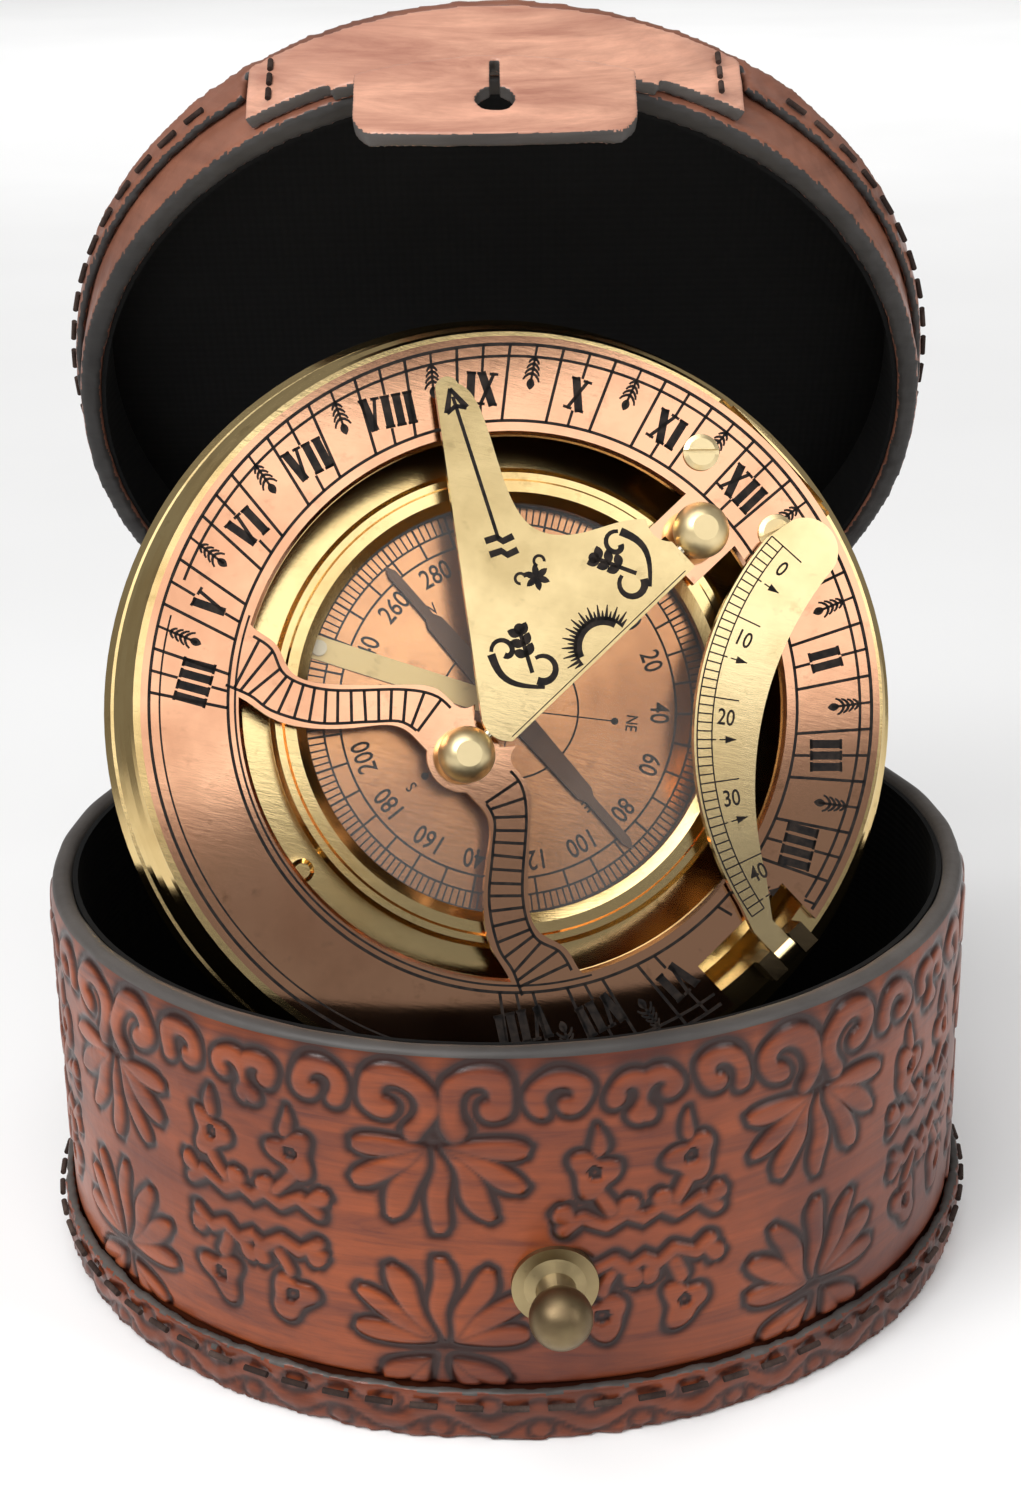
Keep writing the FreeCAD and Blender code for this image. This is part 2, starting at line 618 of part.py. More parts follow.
def case_lid():
    tab_room = sector(CASE_R, CASE_R + 3, TAB_HALF + 1.5, LID_Z, LID_TOP, 270)
    strip_top = LID_TOP - LIP_H - FIT
    save("hinge_strip_middle",
         rest_of_lid(strip(FOLD_LOW + FIT, FOLD_HIGH - LID_GAP / 2, CASE_R + FIT)))
    save("lid_wall", rest_of_lid(tube(CASE_R - LEATHER, CASE_R, LID_Z, LID_TOP)))
    bore = CASE_R - LEATHER - LINING
    save("lid_lining", rest_of_lid(tube(bore, CASE_R - LEATHER, LID_Z + 0.6, LID_TOP)))
    save("lid_pan", rest_of_lid(pan(LID_TOP, False).cut(tab_room)))
    save("lid_top_lining", rest_of_lid(cyl(bore, LID_TOP - LINING, LID_TOP)))
    gap = degrees(asin(TAB_HALF / CASE_R)) + 3
    save("lid_stitches",
         rest_of_lid(stitches(CASE_R + PAN_LIP, LID_TOP - 2.2, stitch_angles(gap))))
    save("closure_tab", rest_of_lid(closure_tab()))
    save("tab_stitches", rest_of_lid(stitch_columns(
        CASE_R + TAB_T, LID_Z + 2, LID_TOP - 1, (-TAB_HALF + 3, TAB_HALF - 3), -1, 3)))
    save("closure_tongue", rest_of_lid(closure_tongue()))
    save("hinge_strip_upper", rest_of_lid(strip(LID_Z, strip_top, CASE_R)))
    save("strip_stitches_upper",
         rest_of_lid(strip_stitches(LID_Z + 0.8, strip_top - 0.5, 2)))


def instrument():
    pieces = [base_dish, bowl_screws, compass_bowl, compass_card, pivot_pin, compass_needle,
              needle_cap, needle_lifter, lifter_screw, crystal, crystal_gasket, crystal_bezel,
              plate_rest_post, hinge_base_leaf, hinge_pin, hinge_plate_leaf, hinge_screws,
              hour_plate, gnomon, gnomon_pins, latitude_arc, arc_lugs, arc_pin]
    for piece in pieces:
        save(piece.__name__, rest_of_dial(piece()))
    save("dial_centre_post", rest_of_dial(ball_post(DIAL_Y, 1)))
    save("twelve_post", rest_of_dial(ball_post(TWELVE_Y, -1)))


os.makedirs("parts", exist_ok=True)
case_base()
case_lid()
instrument()
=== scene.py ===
import json
import math
import bpy
import bmesh
import numpy as np
from mathutils import Matrix, Vector, noise


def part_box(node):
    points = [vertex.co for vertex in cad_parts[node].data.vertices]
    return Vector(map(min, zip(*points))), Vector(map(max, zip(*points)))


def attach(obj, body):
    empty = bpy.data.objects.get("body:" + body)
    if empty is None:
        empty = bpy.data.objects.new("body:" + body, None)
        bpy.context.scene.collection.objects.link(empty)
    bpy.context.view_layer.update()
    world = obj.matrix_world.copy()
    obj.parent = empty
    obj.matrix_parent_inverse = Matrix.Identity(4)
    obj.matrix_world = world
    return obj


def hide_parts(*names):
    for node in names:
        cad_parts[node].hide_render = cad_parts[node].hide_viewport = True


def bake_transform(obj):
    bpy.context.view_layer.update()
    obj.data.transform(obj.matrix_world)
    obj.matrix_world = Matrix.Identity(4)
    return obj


# Looks for a folding sundial compass in its round leather case.
# Lengths are in metres. MM turns millimetres into metres; the stamped pattern and the engraving
# are drawn in plain millimetres.

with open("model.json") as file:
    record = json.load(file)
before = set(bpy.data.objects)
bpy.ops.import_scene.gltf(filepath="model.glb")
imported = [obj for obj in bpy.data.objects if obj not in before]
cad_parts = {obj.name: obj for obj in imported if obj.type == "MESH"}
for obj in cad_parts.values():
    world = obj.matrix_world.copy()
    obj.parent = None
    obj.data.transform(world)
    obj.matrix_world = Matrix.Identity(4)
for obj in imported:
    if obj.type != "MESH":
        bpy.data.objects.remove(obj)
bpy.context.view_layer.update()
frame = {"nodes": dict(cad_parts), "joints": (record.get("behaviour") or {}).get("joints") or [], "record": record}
nodes = frame["nodes"]
joints = {j["name"]: j for j in frame["joints"]}
slots = {m["slot"]: m for m in frame["record"]["materials"]}
MM = 0.001

# ---- sizes read from the frame ----
wall_low, wall_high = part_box("base_wall")
CASE_R = wall_high.x
RIM_Z = wall_high.z
WALL_Z = wall_low.z
LEATHER = CASE_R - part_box("base_lining")[1].x
PAN_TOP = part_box("bottom_pan")[1].z
FOLD_LOW = Vector(joints["lid_hinge"]["pos_m"])
LID_OPEN = math.radians(-joints["lid_hinge"]["range_deg"][0])
STRIP_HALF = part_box("hinge_strip_lower")[1].x

# ---- the dial's own frame: x right, y towards XII, z out of the dial; its engraved faces ----
NEEDLE_UP = 9.3 * MM
PLATE_TOP = 16.0 * MM
CARD_TOP = 8.2 * MM
GNOMON_TOP = 20.4 * MM
ARC_TOP = 18.6 * MM
DIAL_CENTRE = Vector((0, -8.5))

normal = Vector(joints["needle_spin"]["axis"]).normalized()
towards_twelve = Vector(joints["gnomon_hinge"]["axis"]).normalized()
across = towards_twelve.cross(normal)
dial_origin = Vector(joints["needle_spin"]["pos_m"]) - NEEDLE_UP * normal
DIAL = Matrix((across, towards_twelve, normal)).transposed().to_4x4()
DIAL.translation = dial_origin

INK_DEEP = 0.02 * MM      # half the thickness of an engraved line


# ======== materials ========

def shader(name, slot=None):
    material = bpy.data.materials.new(name)
    material.use_nodes = True
    tree = material.node_tree
    tree.nodes.clear()
    out = tree.nodes.new("ShaderNodeOutputMaterial")
    bsdf = tree.nodes.new("ShaderNodeBsdfPrincipled")
    tree.links.new(bsdf.outputs[0], out.inputs[0])
    material.diffuse_color = (*slots[slot]["base_color"][:3], 1) if slot else (0.5, 0.5, 0.5, 1)
    return material, tree, bsdf


def coords(tree, scale=(1, 1, 1), turn=(0, 0, 0)):
    where = tree.nodes.new("ShaderNodeTexCoord")
    mapping = tree.nodes.new("ShaderNodeMapping")
    mapping.inputs["Scale"].default_value = scale
    mapping.inputs["Rotation"].default_value = turn
    tree.links.new(where.outputs["Object"], mapping.inputs["Vector"])
    return mapping.outputs[0]


def noise_node(tree, vector, scale, detail=4.0, rough=0.55, distortion=0.0):
    node = tree.nodes.new("ShaderNodeTexNoise")
    node.inputs["Scale"].default_value = scale
    node.inputs["Detail"].default_value = detail
    node.inputs["Roughness"].default_value = rough
    node.inputs["Distortion"].default_value = distortion
    tree.links.new(vector, node.inputs["Vector"])
    return node.outputs["Fac"]


def ramp(tree, value, *stops):
    node = tree.nodes.new("ShaderNodeValToRGB")
    band = node.color_ramp
    while len(band.elements) < len(stops):
        band.elements.new(0.5)
    for element, (place, colour) in zip(band.elements, stops):
        element.position = place
        element.color = (*colour, 1) if len(colour) == 3 else colour
    tree.links.new(value, node.inputs[0])
    return node.outputs[0]


def grey(*stops):
    return [(place, (v, v, v)) for place, v in stops]


def mixed(tree, factor, a, b):
    node = tree.nodes.new("ShaderNodeMix")
    node.data_type = "RGBA"
    for value, socket in ((factor, node.inputs[0]), (a, node.inputs[6]), (b, node.inputs[7])):
        if isinstance(value, bpy.types.NodeSocket):
            tree.links.new(value, socket)
        else:
            socket.default_value = value if isinstance(value, float) else (*value, 1)
    return node.outputs[2]


def bump(tree, bsdf, height, strength, distance):
    node = tree.nodes.new("ShaderNodeBump")
    node.inputs["Strength"].default_value = strength
    node.inputs["Distance"].default_value = distance
    tree.links.new(height, node.inputs["Height"])
    tree.links.new(node.outputs[0], bsdf.inputs["Normal"])


HAIRLINES = (1, 14, 1)        # stretch of the scratches in a polished face
HIDE_GRAIN = (1, 1, 11)       # stretch of the streaks in a hide


def metal(name, slot, light, dark, rough=(0.12, 0.3), scratches=0.25, tarnish=0.62):
    """Polished metal with cloudy tarnish, hairline scratches and uneven gloss."""
    material, tree, bsdf = shader(name, slot)
    cloud = noise_node(tree, coords(tree), scale=38.0, detail=5.0, rough=0.6)
    fine = noise_node(tree, coords(tree), scale=420.0, detail=3.0, rough=0.6)
    hair = noise_node(tree, coords(tree, HAIRLINES, (0.5, 0.3, 0.9)), scale=260.0, detail=6.0,
                      rough=0.75)
    patch = ramp(tree, cloud, *grey((tarnish - 0.14, 0.0), (tarnish + 0.16, 1.0)))
    colour = mixed(tree, patch, light, dark)
    speck = ramp(tree, fine, *grey((0.60, 0.0), (0.80, 0.5)))
    colour = mixed(tree, speck, colour, tuple(v * 0.72 for v in dark))
    tree.links.new(colour, bsdf.inputs["Base Color"])
    gloss = ramp(tree, cloud, *grey((0.3, rough[0]), (0.75, rough[1])))
    tree.links.new(gloss, bsdf.inputs["Roughness"])
    bsdf.inputs["Metallic"].default_value = 1.0
    bump(tree, bsdf, hair, scratches, distance=0.03 * MM)
    return material


# colour of the painted shade in the stamped grooves of the leather
GROOVE_SHADE_COLOUR = (0.016, 0.005, 0.004)


def leather(name, slot, high, low, streak=0.5, rough=(0.30, 0.5), relief=None, grain=0.5):
    """Dyed leather: streaks along the hide, pores, and painted shade where the relief is low."""
    material, tree, bsdf = shader(name, slot)
    streaks = noise_node(tree, coords(tree, HIDE_GRAIN), scale=30.0, detail=8.0, rough=0.7,
                         distortion=0.5)
    blotch = noise_node(tree, coords(tree), scale=30.0, detail=4.0, rough=0.6)
    pores = noise_node(tree, coords(tree), scale=900.0, detail=3.0, rough=0.6)
    cells = tree.nodes.new("ShaderNodeTexVoronoi")
    cells.inputs["Scale"].default_value = 620.0
    tree.links.new(coords(tree), cells.inputs["Vector"])
    tone = ramp(tree, streaks, (0.34, low), (0.50, high), (0.66, tuple(v * 1.5 for v in high)))
    tone = mixed(tree, streak, high, tone)
    dirty = ramp(tree, blotch, *grey((0.42, 0.0), (0.72, 0.75)))
    colour = mixed(tree, dirty, tone, low)
    if relief:
        height = tree.nodes.new("ShaderNodeAttribute")
        height.attribute_name = relief
        # painted shade: a low relief tone mixes in the groove shade colour
        groove_shade = ramp(tree, height.outputs["Fac"], *grey((0.12, 0.96), (0.34, 0.66), (0.66, 0.0)))
        colour = mixed(tree, groove_shade, colour, GROOVE_SHADE_COLOUR)
    tree.links.new(colour, bsdf.inputs["Base Color"])
    tree.links.new(ramp(tree, blotch, *grey((0.3, rough[0]), (0.7, rough[1]))),
                   bsdf.inputs["Roughness"])
    bsdf.inputs["Coat Weight"].default_value = 0.05
    bsdf.inputs["Coat Roughness"].default_value = 0.25
    bsdf.inputs["Specular IOR Level"].default_value = 0.36
    skin = mixed(tree, 0.5, pores, cells.outputs["Distance"])
    bump(tree, bsdf, skin, grain, distance=0.12 * MM)
    return material


def threads_across(tree, weave, direction):
    """One set of a cloth's threads."""
    node = tree.nodes.new("ShaderNodeTexWave")
    node.bands_direction = direction
    node.inputs["Scale"].default_value = weave / 6
    node.inputs["Distortion"].default_value = 0.6
    tree.links.new(coords(tree), node.inputs["Vector"])
    return node.outputs["Fac"]


def cloth(name, slot, colour, light, weave=1900.0):
    """Thin woven cloth, paper or thread, with a faint crossed pattern and some dust."""
    material, tree, bsdf = shader(name, slot)
    threads = mixed(tree, 0.5, threads_across(tree, weave, "X"), threads_across(tree, weave, "Z"))
    dust = noise_node(tree, coords(tree), scale=70.0, detail=6.0, rough=0.65)
    colour = mixed(tree, ramp(tree, dust, *grey((0.45, 0.0), (0.75, 0.6))), colour, light)
    tree.links.new(colour, bsdf.inputs["Base Color"])
    bsdf.inputs["Roughness"].default_value = 0.9
    bsdf.inputs["Specular IOR Level"].default_value = 0.25
    bump(tree, bsdf, threads, strength=0.5, distance=0.1 * MM)
    return material


def engraving_ink():
    """Dull black wax."""
    material, tree, bsdf = shader("engraving_wax")
    speck = noise_node(tree, coords(tree), scale=900.0, detail=3.0, rough=0.6)
    colour = ramp(tree, speck, (0.35, (0.006, 0.005, 0.005)), (0.75, (0.03, 0.021, 0.016)))
    tree.links.new(colour, bsdf.inputs["Base Color"])
    bsdf.inputs["Roughness"].default_value = 0.6
    bsdf.inputs["Specular IOR Level"].default_value = 0.15
    return material


def clear_glass():
    """The crystal: nearly clear, with faint smears in its shine."""
    material, tree, bsdf = shader("crystal_glass", "glass")
    smear = noise_node(tree, coords(tree, (1, 3, 1)), scale=60.0, detail=5.0, rough=0.6)
    tree.links.new(ramp(tree, smear, *grey((0.4, 0.01), (0.8, 0.06))), bsdf.inputs["Roughness"])
    tree.links.new(ramp(tree, smear, (0.3, (0.93, 0.96, 0.95)), (0.8, (0.99, 0.99, 0.98))),
                   bsdf.inputs["Base Color"])
    bsdf.inputs["Alpha"].default_value = 0.035
    bsdf.inputs["Specular IOR Level"].default_value = 0.5
    return material


BRASS = metal("polished_brass", "polished_brass", (0.82, 0.62, 0.30), (0.52, 0.34, 0.13),
              rough=(0.06, 0.18))
GNOMON_BRASS = metal("gnomon_brass", "polished_brass", (0.68, 0.53, 0.28), (0.42, 0.31, 0.14),
                     rough=(0.10, 0.22), scratches=0.3, tarnish=0.56)
ARC_BRASS = metal("arc_brass", "polished_brass", (0.84, 0.66, 0.36), (0.60, 0.42, 0.18),
                  rough=(0.10, 0.22))
COPPER = metal("copper_toned_brass", "copper_toned_brass", (0.74, 0.41, 0.25),
               (0.48, 0.23, 0.13), rough=(0.05, 0.13), scratches=0.12)
CARD = metal("card_copper", "copper_toned_brass", (0.70, 0.35, 0.16), (0.38, 0.17, 0.08),
             rough=(0.10, 0.22), scratches=0.4, tarnish=0.54)
SATIN = metal("satin_brass", "polished_brass", (0.86, 0.70, 0.40), (0.66, 0.50, 0.25),
              rough=(0.36, 0.48), scratches=0.5)
# brass darkened to paint the shade and dark reflection round the arc's hinge, for its lugs and pin
PAINTED_SHADE_BRASS = metal("painted_shade_brass", "polished_brass", (0.17, 0.125, 0.07), (0.03, 0.022, 0.014),
                   rough=(0.16, 0.3), scratches=0.4, tarnish=0.46)
AGED = metal("aged_brass", "aged_brass", (0.42, 0.33, 0.17), (0.13, 0.09, 0.05),
             rough=(0.3, 0.5), scratches=0.5, tarnish=0.5)
HINGE = metal("hinge_brass", "hinge_brass", (0.70, 0.52, 0.24), (0.35, 0.22, 0.09),
              rough=(0.25, 0.4))
STEEL = metal("turned_steel", "steel", (0.66, 0.58, 0.42), (0.36, 0.28, 0.17),
              rough=(0.25, 0.4))
BLUED = metal("needle_bronze", "blued_steel", (0.13, 0.075, 0.05), (0.05, 0.03, 0.025),
              rough=(0.3, 0.45))
EMBOSSED = leather("embossed_leather", "embossed_leather", (0.240, 0.052, 0.014),
                   (0.070, 0.016, 0.012), streak=0.7, rough=(0.26, 0.42), relief="relief",
                   grain=0.35)
SMOOTH = leather("smooth_leather", "smooth_leather", (0.23, 0.090, 0.054),
                 (0.095, 0.034, 0.022), streak=0.35, rough=(0.30, 0.48))
LIP = leather("lip_leather", "smooth_leather", (0.17, 0.038, 0.014), (0.040, 0.012, 0.008),
              streak=0.6, rough=(0.3, 0.46), relief="relief")
TAN = leather("tab_leather", "smooth_leather", (0.56, 0.29, 0.20), (0.34, 0.145, 0.10),
              streak=0.9, rough=(0.26, 0.4), grain=0.25)
EDGE = leather("raw_edge", "smooth_leather", (0.075, 0.066, 0.060), (0.025, 0.022, 0.021),
               streak=0.4, rough=(0.45, 0.6))
DARK_EDGE = leather("dark_edge", "smooth_leather", (0.032, 0.029, 0.027),
                    (0.010, 0.009, 0.009), streak=0.4, rough=(0.45, 0.6))
CLOTH = cloth("black_cloth", "black_cloth", (0.0014, 0.0014, 0.0014), (0.004, 0.004, 0.004))
BOARD = cloth("paper_board", "board", (0.30, 0.24, 0.17), (0.2, 0.15, 0.1))
THREAD = cloth("waxed_thread", "thread", (0.025, 0.014, 0.011), (0.16, 0.11, 0.09),
               weave=4000.0)
GASKET = cloth("gasket_felt", "gasket", (0.02, 0.02, 0.02), (0.05, 0.05, 0.05))
INK = engraving_ink()
GLASS = clear_glass()

LOOKS = {
    "polished_brass": BRASS, "copper_toned_brass": COPPER, "aged_brass": AGED,
    "hinge_brass": HINGE, "steel": STEEL, "blued_steel": BLUED, "embossed_leather": EMBOSSED,
    "smooth_leather": SMOOTH, "black_cloth": CLOTH, "board": BOARD, "thread": THREAD,
    "gasket": GASKET, "glass": GLASS,
}
OWN_LOOK = {"gnomon": GNOMON_BRASS, "latitude_arc": ARC_BRASS, "compass_card": CARD,
            "dial_centre_post": SATIN, "twelve_post": SATIN, "hinge_screws": SATIN,
            # the arc's lugs and pin get the darkened brass as painted shade
            "arc_lugs": PAINTED_SHADE_BRASS, "arc_pin": PAINTED_SHADE_BRASS}


def paint_frame():
    """Give every CAD node its own look, or else its material slot's."""
    for part in frame["record"]["subparts"]:
        thing = nodes[part["node"]]
        thing.data.materials.clear()
        thing.data.materials.append(OWN_LOOK.get(part["node"], LOOKS[part["material_slot"]]))


# ======== meshes ========

def piece(name, verts, faces, material, body, smooth=True):
    """A new mesh in the scene, riding on its body."""
    mesh = bpy.data.meshes.new(name)
    mesh.from_pydata([tuple(v) for v in verts], [], faces)
    mesh.validate()
    mesh.update()
    thing = bpy.data.objects.new(name, mesh)
    bpy.context.scene.collection.objects.link(thing)
    mesh.materials.append(material)
    if smooth:
        mesh.polygons.foreach_set("use_smooth", [True] * len(mesh.polygons))
    if body:
        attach(thing, body)
    return thing


def hashed(value):
    """An uneven number between -1 and 1 that depends only on the value."""
    return noise.noise(Vector((value * 7.31, value * 3.17, 1.7)))


LUMP_SCALE = 260.0     # lumps of a softened hide per metre
OUTWARD = 0.7          # a direction is outward when it leans this much away from the case's axis
FLAT_TONE = 0.8        # how free of painted groove shade plain leather is


def softened(node, body, material, voxel, rounds, lumps, cut_faces, pattern=None,
             edge=EDGE):
    """A leather piece with rounded, slightly uneven edges, in place of its plain solid.

    cut_faces tells from a face's middle and direction whether it is raw cut leather;
    pattern gives the tone and the depth of a stamped ornament on the upright outside."""
    source = nodes[node]
    thing = bpy.data.objects.new(node + "_hide", source.data.copy())
    bpy.context.scene.collection.objects.link(thing)
    remesh = thing.modifiers.new("remesh", "REMESH")
    remesh.mode = "VOXEL"
    remesh.voxel_size = voxel
    smooth = thing.modifiers.new("smooth", "SMOOTH")
    smooth.factor = 0.5
    smooth.iterations = rounds
    shown = bpy.context.evaluated_depsgraph_get()
    mesh = bpy.data.meshes.new_from_object(thing.evaluated_get(shown))
    thing.modifiers.clear()
    thing.data = mesh
    normals = [v.normal.copy() for v in mesh.vertices]
    for vert, out in zip(mesh.vertices, normals):
        vert.co += out * lumps * noise.fractal(vert.co * LUMP_SCALE, 1.0, 2.0, 3)
    if pattern:
        tones = []
        for vert, out in zip(mesh.vertices, normals):
            outside = out.xy.dot(vert.co.xy.normalized()) > OUTWARD
            tone, depth = pattern(vert.co) if outside else (FLAT_TONE, 0.0)
            vert.co -= out * depth
            vert.co.z = max(vert.co.z, 0.0)
            tones.append(tone)
        mesh.attributes.new("relief", "FLOAT", "POINT").data.foreach_set("value", tones)
    mesh.polygons.foreach_set("use_smooth", [True] * len(mesh.polygons))
    mesh.materials.clear()
    mesh.materials.append(material)
    mesh.materials.append(edge)
    for face in mesh.polygons:
        face.material_index = int(cut_faces(face.center, face.normal))
    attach(thing, body)
    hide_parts(node)


LID_UP = Vector((0, math.sin(LID_OPEN), math.cos(LID_OPEN)))


def faces_lid_mouth(middle, out):
    """True on the cut rim of the lid, which faces down into the case when shut."""
    return out.dot(LID_UP) < -0.55


def turned_up_rim(middle, out):
    """True on the top of the bottom's edge, where it is turned up outside the wall."""
    return out.z > 0.5 and middle.xy.length > CASE_R


def across_the_hide(middle, out):
    """True on the edges of the tab and the tongue, which lie round the lid's wall."""
    axis_foot = FOLD_LOW + Vector((0, -FOLD_LOW.y * math.cos(LID_OPEN),
                                   FOLD_LOW.y * math.sin(LID_OPEN)))
    away = middle - axis_foot
    away -= LID_UP * away.dot(LID_UP)
    return abs(out.dot(away.normalized())) < 0.6


# ======== embossed wall ========

REPEATS = 8                          # of the ornament round the wall
FIRST_PALMETTE = math.radians(262.0)
RELIEF = 0.62 * MM
PALMETTE_HIGH, PALMETTE_LOW = 37.0, 10.6     # roots of the hanging and the standing palmette

# petals of both palmettes: angle from upright, length, width
PETALS = ((0, 10.4, 2.2), (29, 10.2, 2.3), (57, 9.8, 2.3), (85, 9.0, 2.2))
FOOT_PETALS = (118, 150)
# curls of the border: x, height over the upper palmettes, first angle, sweep, radii, half width
CURLS = ((5.2, 4.0, 230, -290, 4.6, 1.2, 1.25), (13.6, 4.4, 205, -285, 3.2, 0.9, 1.0),
         (20.0, 4.2, -60, 260, 3.0, 0.9, 1.0))
# bell flowers: x, y, size, lean
BUDS = ((16.6, 32.4, 1.25, 0.4), (17.2, 14.6, 1.3, -0.3))
BRANCHES = ([(13.4, 25.4), (15.6, 27.0), (18.0, 25.8), (20.2, 27.0), (22.4, 25.8)],
            [(14.2, 21.6), (16.2, 20.2), (18.4, 21.4), (20.4, 20.0), (22.4, 21.2)],
            [(17.0, 29.6), (18.6, 27.6)], [(17.6, 17.6), (18.6, 19.6)])
# leaves on the branches: x, y, angle from upright, length
LEAVES = ((15.0, 26.4, -60, 3.0), (19.6, 26.2, 20, 2.8), (15.6, 20.8, -120, 3.0),
          (20.6, 20.4, 160, 2.8))
BRANCH_HALF, LEAF_WIDTH = 0.72, 2.0
# stamped waves of the bottom's turned-up edge
LIP_MIDDLE, LIP_WAVE, LIP_SWING, LIP_HALF = 2.7, 11.0, 1.1, 0.75
LIP_DOT, LIP_DOT_AT, LIP_DEPTH = 0.95, 1.5, 0.28 * MM


def teardrop(x, y, root, angle, length, width):
    """Signed distance, in mm, to a petal growing from its root; negative inside."""
    dx, dy = x - root[0], y - root[1]
    along = dx * math.sin(angle) + dy * math.cos(angle)
    side = dx * math.cos(angle) - dy * math.sin(angle)
    t = np.clip(along / length, 0.0, 1.0)
    half = width * np.sqrt(np.clip(t * (1.02 - t), 0, 1)) * (0.55 + 0.9 * t)
    outside = np.maximum(np.maximum(-along, along - length), 0)
    return np.hypot(np.maximum(np.abs(side) - half, 0), outside) - np.minimum(
        0.9, np.maximum(half - np.abs(side), 0)) * (outside == 0)


def stroke(x, y, points, width):
    """Signed distance to a round-ended line through the points."""
    best = np.full(x.shape, 99.0)
    for (ax, ay), (bx, by) in zip(points, points[1:]):
        dx, dy = bx - ax, by - ay
        t = np.clip(((x - ax) * dx + (y - ay) * dy) / (dx * dx + dy * dy), 0, 1)
        best = np.minimum(best, np.hypot(x - ax - t * dx, y - ay - t * dy))
    return best - width


def spiral(cx, cy, start, sweep, r0, r1, steps=18):
    """Points along a curl, from radius r0 to r1."""
    points = []
    for i in range(steps + 1):
        t = i / steps
        a = start + sweep * t
        r = r0 + (r1 - r0) * t
        points.append((cx + r * math.cos(a), cy + r * math.sin(a)))
    return points


def bud(x, y, cx, cy, size, lean=0.0):
    """A small bell flower with a hollow heart."""
    dx, dy = x - cx, y - cy
    radius = np.hypot(dx, dy)
    turn = np.arctan2(dx, -dy) + lean
    edge = size * (2.0 + 0.5 * np.cos(3 * turn) + 0.25 * np.cos(turn))
    heart = 0.7 * size
    return np.where(radius < heart, heart - radius + 0.1, radius - edge)


def motif_distance(x, y):
    """Distance in mm to the raised ornament of one repeat; x runs from the palmette's middle."""
    ax = np.abs(x)
    parts = []
    for angle, length, width in PETALS:
        away = 0.8 if angle else 0.0
        lean = math.radians(angle)
        parts.append(teardrop(ax, y, (away, PALMETTE_HIGH - 1.2), math.pi - lean, length, width))
        parts.append(teardrop(ax, y, (away, PALMETTE_LOW + 1.2), lean, length, width))
    for angle in FOOT_PETALS:
        parts.append(teardrop(ax, y, (1.2, PALMETTE_LOW - 1.0), math.radians(angle), 6.6, 2.1))
    for cx, up, start, sweep, r0, r1, half in CURLS:
        curl = spiral(cx, PALMETTE_HIGH + up, math.radians(start), math.radians(sweep), r0, r1)
        parts.append(stroke(ax, y, curl, half))
    parts.append(teardrop(ax, y, (17.0, PALMETTE_HIGH + 1.0), math.pi, 3.6, 1.3))
    for cx, cy, size, lean in BUDS:
        parts.append(bud(ax, y, cx, cy, size, lean))
    for branch in BRANCHES:
        parts.append(stroke(ax, y, branch, BRANCH_HALF))
    for px, py, angle, length in LEAVES:
        parts.append(teardrop(ax, y, (px, py), math.radians(angle), length, LEAF_WIDTH))
    return np.minimum.reduce(parts)


def bell(d, middle, width):
    """1 at the middle, fading to 0 over the width on both sides."""
    return np.exp(-((d - middle) / width) ** 2)


def root_shade(x, y):
    """Painted shade gathered at the roots of the petals."""
    near = np.minimum(np.hypot(x, y - PALMETTE_HIGH), np.hypot(x, y - PALMETTE_LOW))
    return bell(near, 0, 3.4)


def relief_height(theta, z):
    """Height of the stamped leather, and its tone, both about 0 to 1; low tone is painted shade."""
    pitch = 2 * math.pi / REPEATS
    local = (theta - FIRST_PALMETTE + pitch / 2) % pitch - pitch / 2
    x = local * CASE_R / MM
    wobble = 0.25 * np.sin(theta * 11.0 + z * 900.0) + 0.2 * np.sin(theta * 23.0 - z * 600.0)
    d = motif_distance(x + wobble, z / MM + 0.2 * np.sin(theta * 17.0))
    rise = 1 / (1 + np.exp(np.clip(d / 0.14, -30, 30)))
    crown = np.clip(-d, 0, 1.0)
    groove = bell(d, 0.42, 0.42)
    wide_groove = bell(d, 0.5, 1.15)
    height = 0.42 + 0.34 * rise + 0.14 * crown - 0.38 * groove
    near_rim = bell(z, RIM_Z, RIM_FADE)
    # painted shade in the grooves, in a wider halo round the ornament and at the petals' roots; the tone is also
    # darker towards the rim and a little lighter on the raised crowns
    tone = 0.82 - 0.50 * groove - 0.34 * wide_groove - 0.30 * root_shade(x, z / MM)
    return height, tone - 0.35 * near_rim + 0.1 * crown


def lip_pattern(co):
    """The stamped waves of the bottom's turned-up edge: their tone, and how far they sink."""
    x = math.atan2(co.y, co.x) * CASE_R / MM
    y = co.z / MM - LIP_MIDDLE
    wave = abs(y - LIP_SWING * math.sin(x * 2 * math.pi / LIP_WAVE)) - LIP_HALF
    bay = x % (LIP_WAVE / 2) - LIP_WAVE / 4
    side = 1 if (x // (LIP_WAVE / 2)) % 2 else -1
    d = min(wave, math.hypot(bay, (y - LIP_DOT_AT * side) * 1.2) - LIP_DOT)
    groove = float(bell(d, 0.45, 0.5))
    # the grooves' darker tone is painted shade
    return FLAT_TONE - 0.62 * groove, LIP_DEPTH * groove


AROUND, UP = 1200, 150       # steps of the wall's mesh
RIM_ROUND = 0.9 * MM         # where the rim's rounding starts, below the rim
RIM_FADE = 2.2 * MM          # the stamping fades out over this below the rim
STAMP_FOOT = 0.55 * MM       # lowest leather under the wall's outer radius
SWELL = 0.2 * MM             # the free leather's rise over the part held by the bottom
RAW_TONE = -1.0              # cut leather and the inside


